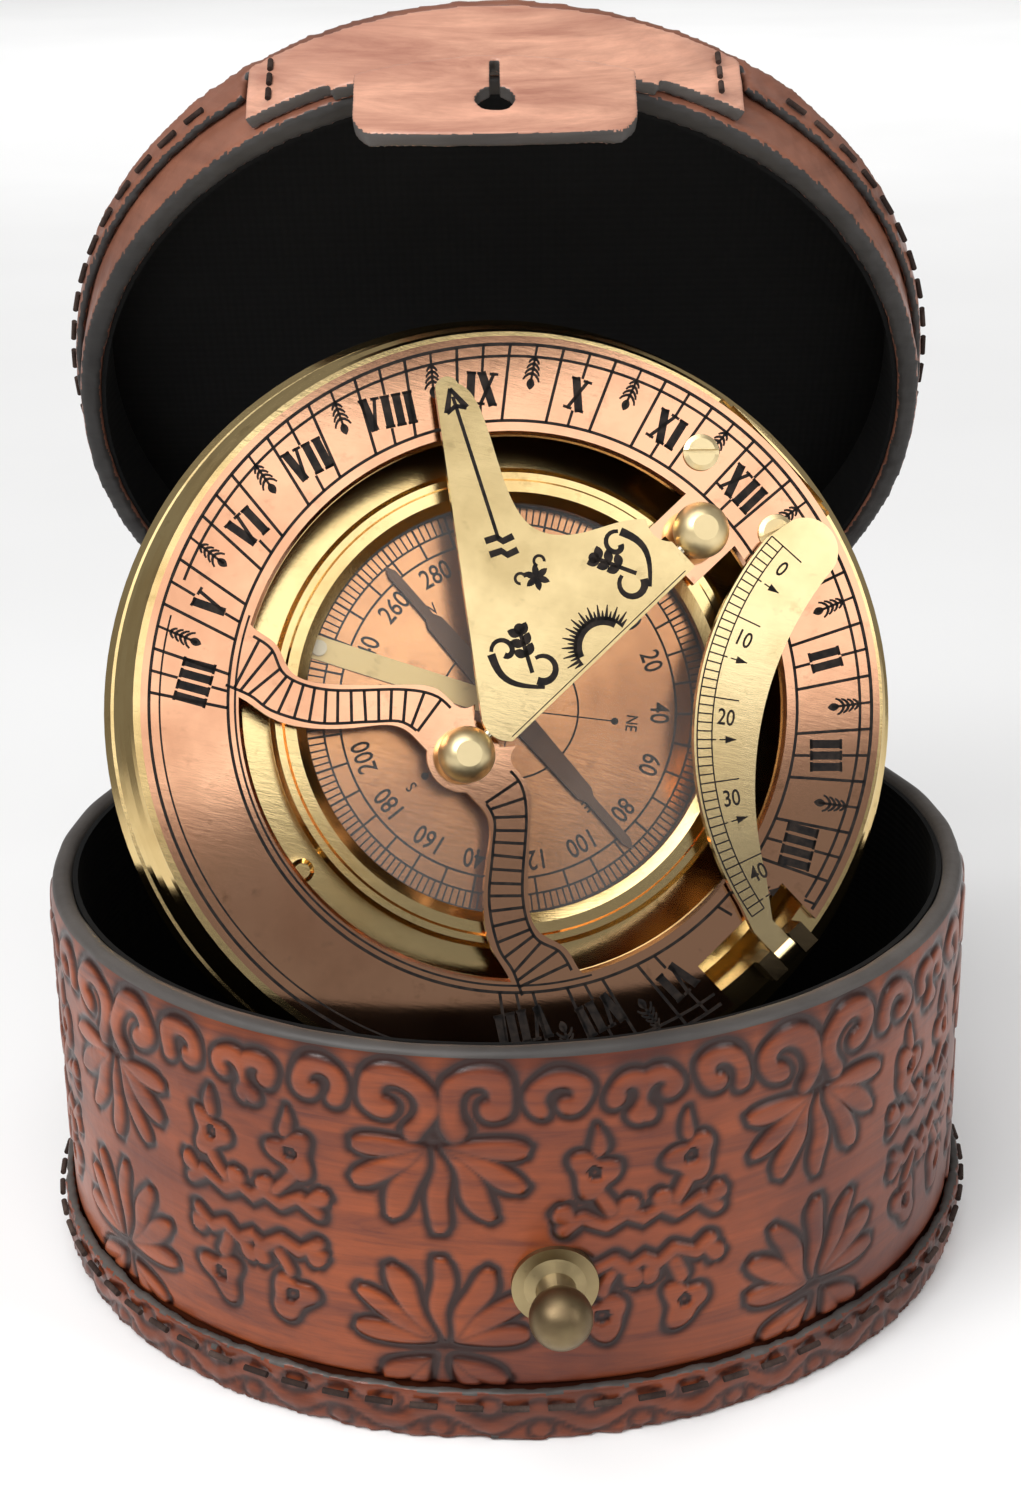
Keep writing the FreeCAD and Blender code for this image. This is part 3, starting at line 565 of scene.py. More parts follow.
def embossed_wall():
    """The wall leather with its stamped ornament, as one closed ring."""
    theta = np.linspace(0, 2 * math.pi, AROUND, endpoint=False)
    under_strip = np.abs(theta - math.pi / 2) * CASE_R < STRIP_HALF + 1.5 * MM
    rows = []
    tones = []

    def add_row(r, z, tone):
        rows.append(np.stack([r * np.cos(theta), r * np.sin(theta), z + 0 * theta], 1))
        tones.append(tone + 0 * theta)

    for z in np.linspace(WALL_Z, RIM_Z - RIM_ROUND, UP):
        h, tone = relief_height(theta, z)
        fade = min(1.0, (RIM_Z - z) / RIM_FADE) if z > PAN_TOP else 0.0
        fade = np.where(under_strip, 0.0, fade)
        wave = 0.08 * MM * np.sin(theta * 9 + 2) * (z / RIM_Z)
        # where the stamping is left out, below the bottom's top and under the hinge strip, the tone 0.25 is
        # painted shade
        add_row(CASE_R - STAMP_FOOT + (RELIEF * h + SWELL + wave) * fade, z,
                np.where(fade > 0, tone, 0.25))
    bore = CASE_R - LEATHER
    thick = LEATHER - 0.3 * MM
    for t in np.linspace(0.12, 0.88, 7):
        bulge = math.sin(math.pi * t) * 0.5 * MM
        r = bore + thick * (1 - t) + 0.02 * MM + 0.06 * MM * np.sin(theta * 31)
        add_row(r, RIM_Z - 0.57 * MM + bulge + 0.1 * MM * np.sin(theta * 5 + 1), RAW_TONE)
    for z in (RIM_Z - 1.2 * MM, WALL_Z):
        add_row(bore, z, RAW_TONE)
    faces = []
    for i in range(len(rows)):
        j = (i + 1) % len(rows)
        for k in range(AROUND):
            n = (k + 1) % AROUND
            faces.append((i * AROUND + k, i * AROUND + n, j * AROUND + n, j * AROUND + k))
    wall = piece("embossed_wall", np.concatenate(rows), faces, EMBOSSED, "case_base")
    relief = wall.data.attributes.new("relief", "FLOAT", "POINT")
    relief.data.foreach_set("value", np.concatenate(tones).astype(np.float32))
    wall.data.materials.append(EDGE)
    edge_faces = np.zeros(len(wall.data.polygons), np.int32)
    edge_faces[(UP - 1) * AROUND:] = 1
    wall.data.polygons.foreach_set("material_index", edge_faces)
    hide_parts("base_wall")


# ======== hinge strip ========

def shut_to_rest(point, share=1.0):
    """Where a point of the shut lid, or of the strip's bend, is at rest."""
    a = -LID_OPEN * share
    y, z = point[1] - FOLD_LOW.y, point[2] - FOLD_LOW.z
    return Vector((point[0], FOLD_LOW.y + y * math.cos(a) - z * math.sin(a),
                   FOLD_LOW.z + y * math.sin(a) + z * math.cos(a)))


def eased(value, low, high):
    """A smooth step from 0 at low to 1 at high."""
    t = min(1.0, max(0.0, (value - low) / (high - low)))
    return t * t * (3 - 2 * t)


BEND = 3.5 * MM              # half the length over which the strip bends
STRIP_THICK = 1.4 * MM
STRIP_CLEAR = 0.15 * MM      # between the wall and the strip
FOLD_OVER_RIM = 0.15 * MM    # the upper fold over the base's rim, in the middle of the lid's gap
STRIP_TOP = 7.2 * MM         # the strip's upper end over the base's rim, shut


def strip_length(name, z0, z1, bend_at, stands_for):
    """Part of the leather hinge strip, drawn along the shut case and bent to rest."""
    along, wide = 40, 24
    verts = []
    for layer in (0, 1):
        for i in range(along + 1):
            z = z0 + (z1 - z0) * i / along
            share = eased(z, FOLD_LOW.z - BEND, FOLD_LOW.z + BEND)
            for k in range(wide + 1):
                u = 2 * k / wide - 1
                x = u * (STRIP_HALF - 0.25 * MM * abs(hashed(z * 400)))
                r = CASE_R + STRIP_CLEAR + layer * STRIP_THICK * (1 - 0.5 * abs(u) ** 10)
                r += 0.06 * MM * noise.noise(Vector((x * 400, z * 400, layer)))
                verts.append(shut_to_rest((x, math.sqrt(r * r - x * x), z), share))
    faces = []
    row = wide + 1
    layer_size = row * (along + 1)
    for i in range(along):
        for k in range(wide):
            a = i * row + k
            faces.append((a, a + row, a + row + 1, a + 1))
            b = a + layer_size
            faces.append((b, b + 1, b + row + 1, b + row))
    for i in range(along):
        for k in (0, wide):
            a = i * row + k
            quad = (a, a + layer_size, a + layer_size + row, a + row)
            faces.append(quad if k == 0 else quad[::-1])
    for i in (0, along):
        for k in range(wide):
            a = i * row + k
            quad = (a, a + 1, a + 1 + layer_size, a + layer_size)
            faces.append(quad if i == 0 else quad[::-1])
    strip = piece(name, verts, faces, SMOOTH, None)
    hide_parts(*stands_for)
    middle = CASE_R + STRIP_THICK / 2
    start, end = [], []
    for z, out in ((bend_at - BEND, start), (bend_at + BEND, end)):
        share = eased(z, FOLD_LOW.z - BEND, FOLD_LOW.z + BEND)
        out.extend(shut_to_rest((0, middle, z), share))
    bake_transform(strip)


def hinge_strip():
    """The strip in two pieces, one for each of its bends."""
    fold_high = RIM_Z + FOLD_OVER_RIM
    half_way = (FOLD_LOW.z + fold_high) / 2
    low_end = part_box("hinge_strip_lower")[0].z
    strip_length("hinge_strip_base_half", low_end, half_way,
                 FOLD_LOW.z, ["hinge_strip_lower"])
    strip_length("hinge_strip_lid_half", half_way, RIM_Z + STRIP_TOP,
                 fold_high, ["hinge_strip_middle", "hinge_strip_upper"])


# ======== engraving ========

class Engraving:
    """Black wax lines, each a thin closed bar, drawn in mm in a dial's plane."""

    def __init__(self, height):
        self.verts = []
        self.faces = []
        self.height = height

    def ribbon(self, left, right):
        """A closed bar between two rows of points."""
        base = len(self.verts)
        n = len(left)
        for z in (self.height - INK_DEEP, self.height + INK_DEEP):
            for a, b in zip(left, right):
                self.verts.append(Vector((a[0] * MM, a[1] * MM, z)))
                self.verts.append(Vector((b[0] * MM, b[1] * MM, z)))
        top = base + 2 * n
        for i in range(n - 1):
            a, t = base + 2 * i, top + 2 * i
            self.faces += [(t, t + 1, t + 3, t + 2), (a, a + 2, a + 3, a + 1),
                           (a, t, t + 2, a + 2), (a + 1, a + 3, t + 3, t + 1)]
        last, high = base + 2 * n - 2, top + 2 * n - 2
        self.faces += [(base, base + 1, top + 1, top), (last, high, high + 1, last + 1)]

    def line(self, points, width, end_width=None):
        """A line through the points, which may widen or narrow to end_width."""
        end_width = width if end_width is None else end_width
        n = len(points)
        left, right = [], []
        for i, p in enumerate(points):
            a, b = points[max(0, i - 1)], points[min(n - 1, i + 1)]
            dx, dy = b[0] - a[0], b[1] - a[1]
            size = math.hypot(dx, dy) or 1.0
            w = (width + (end_width - width) * i / max(1, n - 1)) / 2
            left.append((p[0] - dy / size * w, p[1] + dx / size * w))
            right.append((p[0] + dy / size * w, p[1] - dx / size * w))
        self.ribbon(left, right)

    def circle(self, centre, radius, width, start=0.0, end=360.0):
        """A ring, or part of one from start to end degrees."""
        steps = max(6, int(abs(end - start) / 2.5))
        angles = [math.radians(start + (end - start) * i / steps) for i in range(steps + 1)]
        self.line([(centre[0] + radius * math.cos(a), centre[1] + radius * math.sin(a))
                   for a in angles], width)

    def disc(self, centre, radius):
        """A filled dot."""
        turns = np.linspace(0, math.pi, 9)
        self.ribbon(*[[(centre[0] - radius * math.cos(a), centre[1] + side * radius * math.sin(a))
                       for a in turns] for side in (1, -1)])

    def leaf(self, root, angle, length, width):
        """A filled pointed leaf growing from its root, the angle from +x."""
        c, s = math.cos(angle), math.sin(angle)
        left, right = [], []
        for i in range(7):
            t = i / 6
            half = width / 2 * math.sin(math.pi * t) ** 0.8
            px, py = root[0] + c * length * t, root[1] + s * length * t
            left.append((px - s * half, py + c * half))
            right.append((px + s * half, py - c * half))
        self.ribbon(left, right)

    def finish(self, name, body):
        """Turn all that was drawn into one mesh on the dial."""
        piece(name, [DIAL @ v for v in self.verts], self.faces, INK, body, smooth=False)


def ray_to_ring(angle, radius):
    """Where the hour line at this angle from XII crosses a ring about the dial's middle."""
    dx, dy = math.sin(angle), math.cos(angle)
    b = DIAL_CENTRE.y * dy
    t = -b + math.sqrt(b * b - DIAL_CENTRE.y ** 2 + radius ** 2)
    return t * dx, DIAL_CENTRE.y + t * dy


HOUR_SLANT = 0.95        # 1 would space the hour lines evenly


def hour_angle(hour):
    """Angle from XII of an hour line; morning hours are negative."""
    h = math.radians(15 * hour)
    return math.atan2(HOUR_SLANT * math.sin(h), math.cos(h))


ROMAN = {1: "I", 2: "II", 3: "III", 4: "IIII", 5: "V", 6: "VI", 7: "VII", 8: "VIII", 9: "IX",
         10: "X", 11: "XI", 12: "XII"}
LETTER_WIDTH = {"I": 1.35, "V": 2.5, "X": 2.5}


def letter(art, kind, x, put, tall):
    """One roman letter from thick and thin bars with serifs, its left edge at x."""
    w = LETTER_WIDTH[kind]
    thick, thin, serif = 0.98, 0.42, 0.34
    low, high = -tall / 2, tall / 2

    def bar(a, b, width):
        art.line([put(*a), put(*b)], width)

    if kind == "I":
        bar((x + w / 2, low), (x + w / 2, high), thick)
        bar((x + 0.1, high - serif / 2), (x + w - 0.1, high - serif / 2), serif)
        bar((x + 0.1, low + serif / 2), (x + w - 0.1, low + serif / 2), serif)
    if kind == "V":
        bar((x + 0.55, high), (x + w / 2 + 0.1, low), thick)
        bar((x + w - 0.5, high), (x + w / 2 + 0.1, low), thin)
        bar((x, high - serif / 2), (x + 1.1, high - serif / 2), serif)
        bar((x + w - 1.0, high - serif / 2), (x + w, high - serif / 2), serif)
    if kind == "X":
        bar((x + 0.5, high), (x + w - 0.5, low), thick)
        bar((x + w - 0.5, high), (x + 0.5, low), thin)
        for side in (high - serif / 2, low + serif / 2):
            bar((x, side), (x + 1.05, side), serif)
            bar((x + w - 1.05, side), (x + w, side), serif)


def roman(art, hour, text, radius, tall):
    """A numeral on its hour line, its head outwards."""
    angle = hour_angle(hour)
    middle = ray_to_ring(angle, radius)
    out = (math.sin(angle), math.cos(angle))
    along = (out[1], -out[0])
    width = sum(LETTER_WIDTH[c] for c in text)
    x = -width / 2

    def put(px, py):
        return (middle[0] + along[0] * px + out[0] * py, middle[1] + along[1] * px + out[1] * py)

    for c in text:
        letter(art, c, x, put, tall)
        x += LETTER_WIDTH[c]


def fern(art, hour):
    """A small fir sprig on the half hour: drooping twigs on a stem over a bud."""
    angle = hour_angle(hour)
    tip, foot = ray_to_ring(angle, RING_BAND), ray_to_ring(angle, RING_BAND - 3.4)
    art.line([foot, tip], 0.3)
    down = math.atan2(foot[1] - tip[1], foot[0] - tip[0])
    for i in range(4):
        t = 0.06 + 0.17 * i
        root = (tip[0] + (foot[0] - tip[0]) * t, tip[1] + (foot[1] - tip[1]) * t)
        reach = 0.85 + 0.16 * i
        for side in (-1, 1):
            bent = [(root[0] + reach * u * math.cos(down + side * (1.35 - 0.55 * u)),
                     root[1] + reach * u * math.sin(down + side * (1.35 - 0.55 * u)))
                    for u in (0.0, 0.35, 0.7, 1.0)]
            art.line(bent, 0.38, 0.22)
    bud_root = (tip[0] + (foot[0] - tip[0]) * 0.72, tip[1] + (foot[1] - tip[1]) * 0.72)
    art.leaf(bud_root, down, 1.5, 0.95)


RING_OUT, RING_BAND, RING_IN = 42.4, 41.0, 33.4
NUMERAL_R, NUMERAL_TALL = 37.3, 3.9
FIRST_HOUR, LAST_HOUR = -8.25, 8.25
HIDDEN_HOUR = 5
NOTCH = (36.8, -5.6, 8.4)    # the plate's edge is cut away at the arc's hinge: least x, y range


def in_notch(p):
    """True where the plate is cut away, with a margin."""
    return p[0] > NOTCH[0] - 0.4 and NOTCH[1] - 0.4 < p[1] < NOTCH[2] + 0.4


def tick(art, hour, r0, r1, width):
    """A piece of an hour line between two radii."""
    angle = hour_angle(hour)
    a, b = ray_to_ring(angle, r0), ray_to_ring(angle, r1)
    if not in_notch(a) and not in_notch(b):
        art.line([a, b], width)


def notched_circle(art, radius, width, start, end):
    """An arc of the ring, left out where the plate is notched."""
    run = []
    for i in range(int(end - start) + 1):
        a = math.radians(start + i)
        p = (radius * math.cos(a), radius * math.sin(a))
        if in_notch(p):
            if len(run) > 1:
                art.line(run, width)
            run = []
        else:
            run.append(p)
    if len(run) > 1:
        art.line(run, width)


# edges of one wavy spoke, from the ring to the middle; the other spoke mirrors it
SPOKE_TOP = [(-30.5, -14.6), (-27.0, -15.9), (-24.4, -15.4), (-21.0, -16.3), (-16.5, -13.9),
             (-10.5, -7.6), (-7.2, -5.3), (-4.4, -5.0), (-3.4, -3.4)]
SPOKE_LOW = [(-24.6, -23.6), (-21.8, -22.4), (-18.6, -21.7), (-14.2, -18.9), (-10.4, -14.6),
             (-8.0, -11.9), (-5.6, -11.2)]


def smooth_path(points, count):
    """Points evenly spread along a Catmull-Rom curve through the given ones."""
    ext = [points[0]] + list(points) + [points[-1]]
    dense = []
    for i in range(1, len(ext) - 2):
        p0, p1, p2, p3 = (Vector(ext[i + k]) for k in (-1, 0, 1, 2))
        for s in range(12):
            t = s / 12
            dense.append(0.5 * (2 * p1 + (p2 - p0) * t + (2 * p0 - 5 * p1 + 4 * p2 - p3) * t * t
                                + (3 * p1 - p0 - 3 * p2 + p3) * t ** 3))
    dense.append(Vector(points[-1]))
    lengths = [0.0]
    for a, b in zip(dense, dense[1:]):
        lengths.append(lengths[-1] + (b - a).length)
    result = []
    for i in range(count):
        want = lengths[-1] * i / (count - 1)
        k = max(j for j, v in enumerate(lengths) if v <= want + 1e-9)
        k = min(k, len(dense) - 2)
        t = (want - lengths[k]) / max(1e-9, lengths[k + 1] - lengths[k])
        result.append(dense[k].lerp(dense[k + 1], t))
    return result


RUNGS = 16
RAIL = 0.8               # from a spoke's edge to its engraved line


def crossing(path, centre, along):
    """The point of a path that a line square to the spoke's run passes through."""
    return min(path, key=lambda p: abs((p - centre).dot(along)) + 0.02 * (p - centre).length)


def spoke_engraving(art):
    """A ladder down each wavy spoke: two lines inside its edges and rungs square to them."""
    top = smooth_path(SPOKE_TOP[1:-1], 160)
    low = smooth_path(SPOKE_LOW, 160)
    inner_top = [a + (b - a).normalized() * RAIL for a, b in zip(top, low)]
    inner_low = [b + (a - b).normalized() * RAIL for a, b in zip(top, low)]
    middle = [(a + b) / 2 for a, b in zip(inner_top, inner_low)]
    for side in (1, -1):
        art.line([(p.x * side, p.y) for p in inner_top[::4]], 0.34)
        art.line([(p.x * side, p.y) for p in inner_low[::4]], 0.34)
        for i in range(RUNGS):
            k = 6 + int(146 * i / (RUNGS - 1))
            along = (middle[min(k + 8, 159)] - middle[max(k - 8, 0)]).normalized()
            ends = [crossing(path, middle[k], along) for path in (inner_top, inner_low)]
            art.line([(p.x * side, p.y) for p in ends], 0.36)


def hour_plate_engraving():
    """Hour ring with its numerals and sprigs, and the ladders of the spokes."""
    art = Engraving(PLATE_TOP)
    left, right = -26.0, 206.0
    for radius, width in ((RING_OUT, 0.4), (RING_BAND, 0.34)):
        notched_circle(art, radius, width, left, right)
    notched_circle(art, RING_IN, 0.36, 0, 360)
    notched_circle(art, RING_IN - 0.8, 0.26, -90 - 62, -90 + 62)
    notched_circle(art, RING_OUT, 0.36, 206, 334)
    notched_circle(art, RING_OUT - 1.2, 0.22, 212, 328)
    for i in range(int((LAST_HOUR - FIRST_HOUR) * 4) + 1):
        quarter = round(FIRST_HOUR * 4) + i
        if quarter % 2:
            tick(art, quarter / 4, RING_IN, RING_OUT, 0.36)
        elif quarter % 4:
            tick(art, quarter / 4, RING_BAND, RING_OUT, 0.3)
        else:
            tick(art, quarter / 4, NUMERAL_R + NUMERAL_TALL / 2, RING_OUT, 0.34)
            tick(art, quarter / 4, RING_IN, NUMERAL_R - NUMERAL_TALL / 2, 0.34)
    for h in range(-8, 9):
        if h != HIDDEN_HOUR:
            roman(art, h, ROMAN[(h - 1) % 12 + 1], NUMERAL_R, NUMERAL_TALL)
    for h in range(-8, 8):
        if not in_notch(ray_to_ring(hour_angle(h + 0.5), NUMERAL_R)):
            fern(art, h + 0.5)
    spoke_engraving(art)
    art.finish("hour_plate_engraving", "dial")


def writing(name, words, body, height):
    """Upright sans figures set in the dial's plane: (text, (x, y), turn, size) in mm."""
    bm = bmesh.new()
    for text, place, turn, size in words:
        font = bpy.data.curves.new(name, "FONT")
        font.body = text
        font.size = size * MM
        font.align_x = "CENTER"
        font.align_y = "CENTER"
        font.extrude = INK_DEEP
        font.offset = 0.012 * size * MM
        font.resolution_u = 3
        holder = bpy.data.objects.new(name, font)
        bpy.context.scene.collection.objects.link(holder)
        shown = bpy.context.evaluated_depsgraph_get()
        mesh = bpy.data.meshes.new_from_object(holder.evaluated_get(shown))
        at = Matrix.Translation(Vector((place[0] * MM, place[1] * MM, height)))
        mesh.transform(DIAL @ at @ Matrix.Rotation(turn, 4, "Z") @ Matrix.Diagonal((0.78, 1, 1, 1)))
        bm.from_mesh(mesh)
        bpy.data.objects.remove(holder)
        bpy.data.meshes.remove(mesh)
    mesh = bpy.data.meshes.new(name)
    bm.to_mesh(mesh)
    bm.free()
    thing = bpy.data.objects.new(name, mesh)
    bpy.context.scene.collection.objects.link(thing)
    mesh.materials.append(INK)
    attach(thing, body)


CARD_TURN = -5.0         # degrees the card is turned against the dial
CARD_RING, CARD_TENS, CARD_TWOS = 24.4, 20.3, 22.3


def bearing(degrees):
    """Direction of a compass bearing on the card, as an angle from +x."""
    return math.radians(90 - degrees + CARD_TURN)


def polar(radius, angle):
    """A point by its radius and its angle from +x."""
    return radius * math.cos(angle), radius * math.sin(angle)


def compass_card_engraving():
    """Degree ring, its figures, and the eight winds."""
    art = Engraving(CARD_TOP)
    for radius, width in ((CARD_RING, 0.3), (CARD_TWOS, 0.26), (CARD_TENS, 0.28), (8.4, 0.24)):
        art.circle((0, 0), radius, width)
    for degree in range(0, 360, 2):
        a = bearing(degree)
        inner, width = (CARD_TWOS, 0.2) if degree % 10 else (CARD_TENS, 0.28)
        art.line([polar(inner, a), polar(CARD_RING, a)], width)
    words = []
    for degree in range(0, 360, 20):
        a = bearing(degree)
        words.append((str(degree or 360), polar(18.2, a), a - math.pi / 2, 3.3))
    for name, degree in zip(("N", "NE", "E", "SE", "S", "SW", "W", "NW"), range(0, 360, 45)):
        a = bearing(degree)
        art.line([polar(1.8, a), polar(12.6, a)], 0.16)
        art.disc(polar(12.9, a), 0.45)
        words.append((name, polar(14.9, a), a - math.pi / 2, 2.0))
    art.finish("compass_card_engraving", "instrument")
    writing("compass_card_figures", words, "instrument", CARD_TOP)


ARC_CENTRE = (42.4, 38.5)
ARC_R = 36.6
ARC_ZERO, ARC_STEP = 85.0, 1.65      # turn of its 0 mark, and turn for one degree of latitude
FIGURE_SHIFT, LAST_FIGURE_SHIFT = 1.35 / 0.55 * 0.95, 1.2 / 0.55 * 0.95   # past their marks


def arc_place(radius, degree):
    """A point of the latitude arc."""
    a = math.radians(ARC_ZERO - ARC_STEP * degree)
    return ARC_CENTRE[0] - radius * math.sin(a), ARC_CENTRE[1] - radius * math.cos(a)


def latitude_arc_engraving():
    """Latitude scale from 0 to 46 degrees."""
    art = Engraving(ARC_TOP)
    edge, inner = ARC_R - 0.35, ARC_R - 2.1
    for radius in (edge, inner):
        art.line([arc_place(radius, 46 * i / 40) for i in range(41)], 0.17)
    for degree in range(0, 47):
        reach = inner if degree % 5 else inner - 0.5
        if degree % 10 == 0:
            reach = ARC_R - 5.0
        art.line([arc_place(reach, degree), arc_place(edge, degree)], 0.17)
    for degree in range(5, 46, 10):
        tip, foot = arc_place(inner - 2.9, degree), arc_place(inner - 0.9, degree)
        art.line([foot, tip], 0.16)
        art.line([arc_place(inner - 1.6, degree), tip], 0.9, 0.05)
    words = []
    for degree in range(0, 50, 10):
        a = math.radians(ARC_ZERO - ARC_STEP * degree)
        shift = FIGURE_SHIFT if degree < 40 else LAST_FIGURE_SHIFT
        words.append((str(degree), arc_place(ARC_R - 3.7, degree + shift),
                      -a + math.radians(90), 2.7))
    art.finish("latitude_arc_engraving", "arc")
    writing("latitude_arc_figures", words, "arc", ARC_TOP)


def scroll(art, x, y, size, flip):
    """A small generic scroll: two curls on a stem with leaves."""
    def at(px, py):
        return x + size * px, y + size * py * flip

    curl = [(-2.6 + 1.7 * (1 - 0.7 * t) * math.cos(2.2 + 5.0 * t),
             1.2 + 1.5 * (1 - 0.7 * t) * math.sin(2.2 + 5.0 * t)) for t in np.linspace(0, 1, 16)]
    art.line([at(*p) for p in curl], 0.45, 0.75)
    sweep = [(-3.4 + 7.0 * t, 2.6 + 1.6 * math.sin(math.pi * t) - 1.9 * t)
             for t in np.linspace(0, 1, 12)]
    art.line([at(*p) for p in sweep], 1.0, 0.4)
    hook = [(1.9 + 1.5 * math.cos(1.2 - 4.2 * t), -0.6 + 1.5 * math.sin(1.2 - 4.2 * t))
            for t in np.linspace(0, 1, 14)]
    art.line([at(*p) for p in hook], 0.95, 0.45)
    art.line([at(-3.0, -1.6), at(1.4, 0.6)], 0.5)
    for i in range(3):
        px, py = -2.6 + 1.1 * i, -1.4 + 0.55 * i
        for turn in (0.9, -0.9):
            angle = math.atan2((2.2 * math.sin(turn) + 1) * flip, 2.2 * math.cos(turn))
            art.leaf(at(px, py), angle + math.pi, 1.7, 1.1)
    art.disc(at(-3.3, -1.8), 0.65)


def gnomon_engraving():
    """Arrow, two scrolls, half sun and rosette."""
    art = Engraving(GNOMON_TOP)
    art.line([(-30.9, 18.7), (-15.4, 11.2)], 0.42)
    for side in (-1, 1):
        angle = math.atan2(-7.5, 15.5) + side * 0.42
        barb = (-31.8 + 2.9 * math.cos(angle), 19.1 + 2.9 * math.sin(angle))
        art.line([(-31.8, 19.1), barb], 0.45, 0.75)
        art.line([barb, (-29.9, 18.2)], 0.5)
    for i in range(2):
        x = -15.4 + 1.5 * i
        art.line([(x - 0.9, 9.9 - 0.7 * i), (x - 0.3, 11.2 - 0.7 * i), (x + 0.5, 11.4 - 0.7 * i),
                  (x + 0.9, 12.7 - 0.7 * i)], 0.8)
    sun = (1.9, 11.5)
    art.circle(sun, 3.0, 1.0, 108, 252)
    for i in range(25):
        a = math.radians(96 + 168 * i / 24)
        reach = 4.9 if i % 2 else 4.2
        p, q = polar(3.1, a), polar(reach, a)
        if q[0] + sun[0] < 2.2:
            art.line([(p[0] + sun[0], p[1] + sun[1]), (q[0] + sun[0], q[1] + sun[1])], 0.5, 0.12)
    scroll(art, -3.0, 19.6, 1.0, 1)
    scroll(art, -3.0, 4.0, 1.0, -1)
    for angle in np.linspace(0, 2 * math.pi, 6, endpoint=False):
        art.leaf((-9.2, 11.4), angle + 0.5, 1.6, 0.8)
    for side in (-1, 1):
        art.circle((-10.4, 11.4 + 1.5 * side), 0.6, 0.34, 40 * side, 300 * side)
    art.line([(2.1, -3.4), (2.1, 24.6)], 0.12)
    art.finish("gnomon_engraving", "gnomon_leaf")


# ======== camera, light, floor ========

CAMERA_AT = Vector((0.0, -0.27961, 0.16664))
CAMERA_PITCH = math.radians(21.110)
CAMERA_YAW = math.radians(0.133)
CAMERA_ROLL = math.radians(-0.863)
LENS_MM = 58.81
SENSOR_MM = 36.0


def camera():
    """The photo's viewpoint."""
    ahead = Vector((math.sin(CAMERA_YAW) * math.cos(CAMERA_PITCH),
                    math.cos(CAMERA_YAW) * math.cos(CAMERA_PITCH), -math.sin(CAMERA_PITCH)))
    right = Vector((math.cos(CAMERA_YAW), -math.sin(CAMERA_YAW), 0))
    up = right.cross(ahead)
    level = math.cos(CAMERA_ROLL) * right + math.sin(CAMERA_ROLL) * up
    head = -math.sin(CAMERA_ROLL) * right + math.cos(CAMERA_ROLL) * up
    data = bpy.data.cameras.new("camera")
    data.lens = LENS_MM
    data.sensor_width = SENSOR_MM
    data.sensor_fit = "AUTO"
    data.clip_start = 0.01
    thing = bpy.data.objects.new("camera", data)
    thing.matrix_world = Matrix((level, head, -ahead)).transposed().to_4x4()
    thing.matrix_world.translation = CAMERA_AT
    bpy.context.scene.collection.objects.link(thing)
    bpy.context.scene.camera = thing


# name: place, target, size, power
LAMPS = {
    "key": ((-0.42, -0.40, 0.55), (0, 0, 0.05), (0.30, 0.25), 2.6),
    "fill": ((0.55, -0.35, 0.35), (0, 0, 0.05), (0.12, 0.45), 1.0),
    "face": ((0.24, -0.72, 0.50), (0, 0, 0.08), (0.60, 0.18), 0.50),
    "backdrop": ((0, 1.3, 1.1), (0, 2.0, 0), (2.4, 0.9), 16.0),
}
WORLD = ((1.0, 0.99, 0.98, 1), 0.24)             # colour, strength
SKY_POWER, SKY_SPREAD, SKY_TILT = 2.15, 60, (24, -14, 0)
FLOOR_SIZE, FLOOR_Z = 6.0, -0.2 * MM


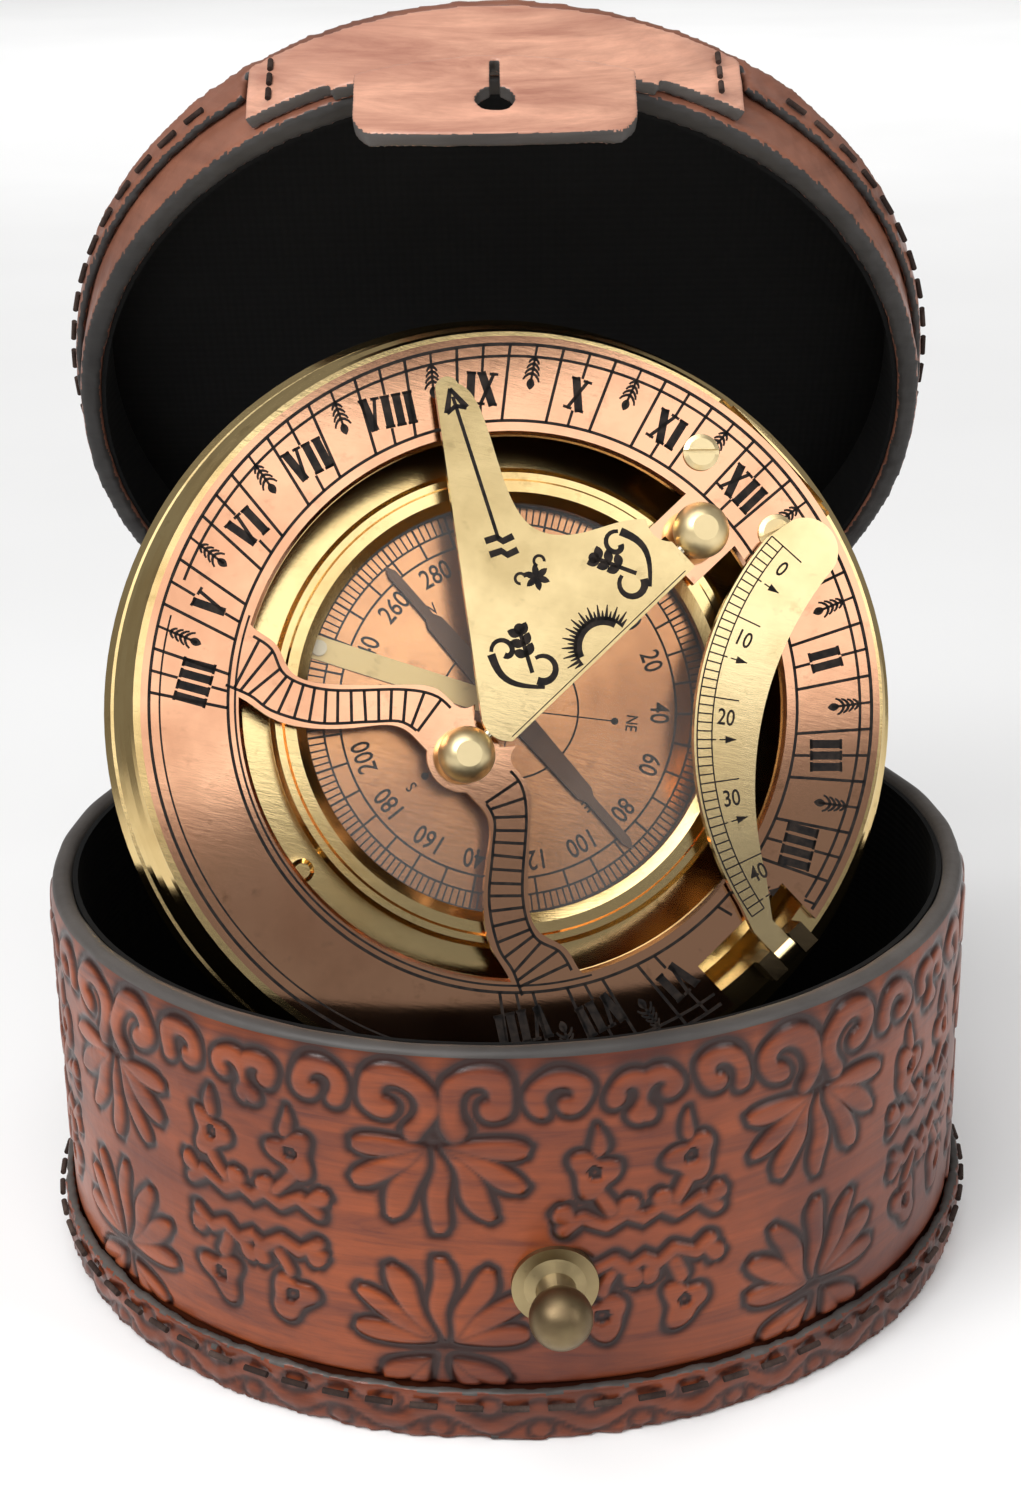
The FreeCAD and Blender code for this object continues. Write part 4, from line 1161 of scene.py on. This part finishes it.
def lamp(name, place, target, size, power):
    """A soft rectangular lamp turned to its target."""
    data = bpy.data.lights.new(name, "AREA")
    data.shape = "RECTANGLE"
    data.size, data.size_y = size
    data.energy = power
    thing = bpy.data.objects.new(name, data)
    thing.location = place
    thing.rotation_euler = (Vector(target) - Vector(place)).to_track_quat("-Z", "Y").to_euler()
    bpy.context.scene.collection.objects.link(thing)


def floor():
    bpy.ops.mesh.primitive_plane_add(size=FLOOR_SIZE, location=(0, 0, FLOOR_Z))
    plane = bpy.context.object
    plane.name = "floor"
    material, tree, bsdf = shader("pale_floor")
    grain = noise_node(tree, coords(tree), scale=6.0, detail=3.0, rough=0.5)
    tree.links.new(ramp(tree, grain, *grey((0.3, 0.86), (0.7, 0.9))), bsdf.inputs["Base Color"])
    bsdf.inputs["Roughness"].default_value = 0.35
    plane.data.materials.append(material)


def studio():
    world = bpy.data.worlds.new("studio")
    bpy.context.scene.world = world
    world.use_nodes = True
    background = world.node_tree.nodes["Background"]
    background.inputs[0].default_value, background.inputs[1].default_value = WORLD
    for name, settings in LAMPS.items():
        lamp(name, *settings)
    sun = bpy.data.lights.new("sky", "SUN")
    sun.energy = SKY_POWER
    sun.angle = math.radians(SKY_SPREAD)
    sky = bpy.data.objects.new("sky", sun)
    sky.rotation_euler = [math.radians(a) for a in SKY_TILT]
    bpy.context.scene.collection.objects.link(sky)
    bpy.context.scene.view_settings.view_transform = "Standard"


# ======== build ========

paint_frame()
embossed_wall()
softened("bottom_pan", "case_base", LIP, voxel=0.55 * MM, rounds=5,
         lumps=0.35 * MM, cut_faces=turned_up_rim, pattern=lip_pattern)
softened("lid_pan", "lid", SMOOTH, voxel=0.55 * MM, rounds=5,
         lumps=0.2 * MM, cut_faces=faces_lid_mouth, edge=DARK_EDGE)
softened("lid_wall", "lid", SMOOTH, voxel=0.5 * MM, rounds=4,
         lumps=0.12 * MM, cut_faces=faces_lid_mouth, edge=DARK_EDGE)
softened("closure_tab", "lid", TAN, voxel=0.35 * MM, rounds=4,
         lumps=0.08 * MM, cut_faces=across_the_hide)
softened("closure_tongue", "tongue", TAN, voxel=0.3 * MM, rounds=4,
         lumps=0.08 * MM, cut_faces=across_the_hide)
hinge_strip()
hour_plate_engraving()
compass_card_engraving()
latitude_arc_engraving()
gnomon_engraving()
camera()
studio()
floor()
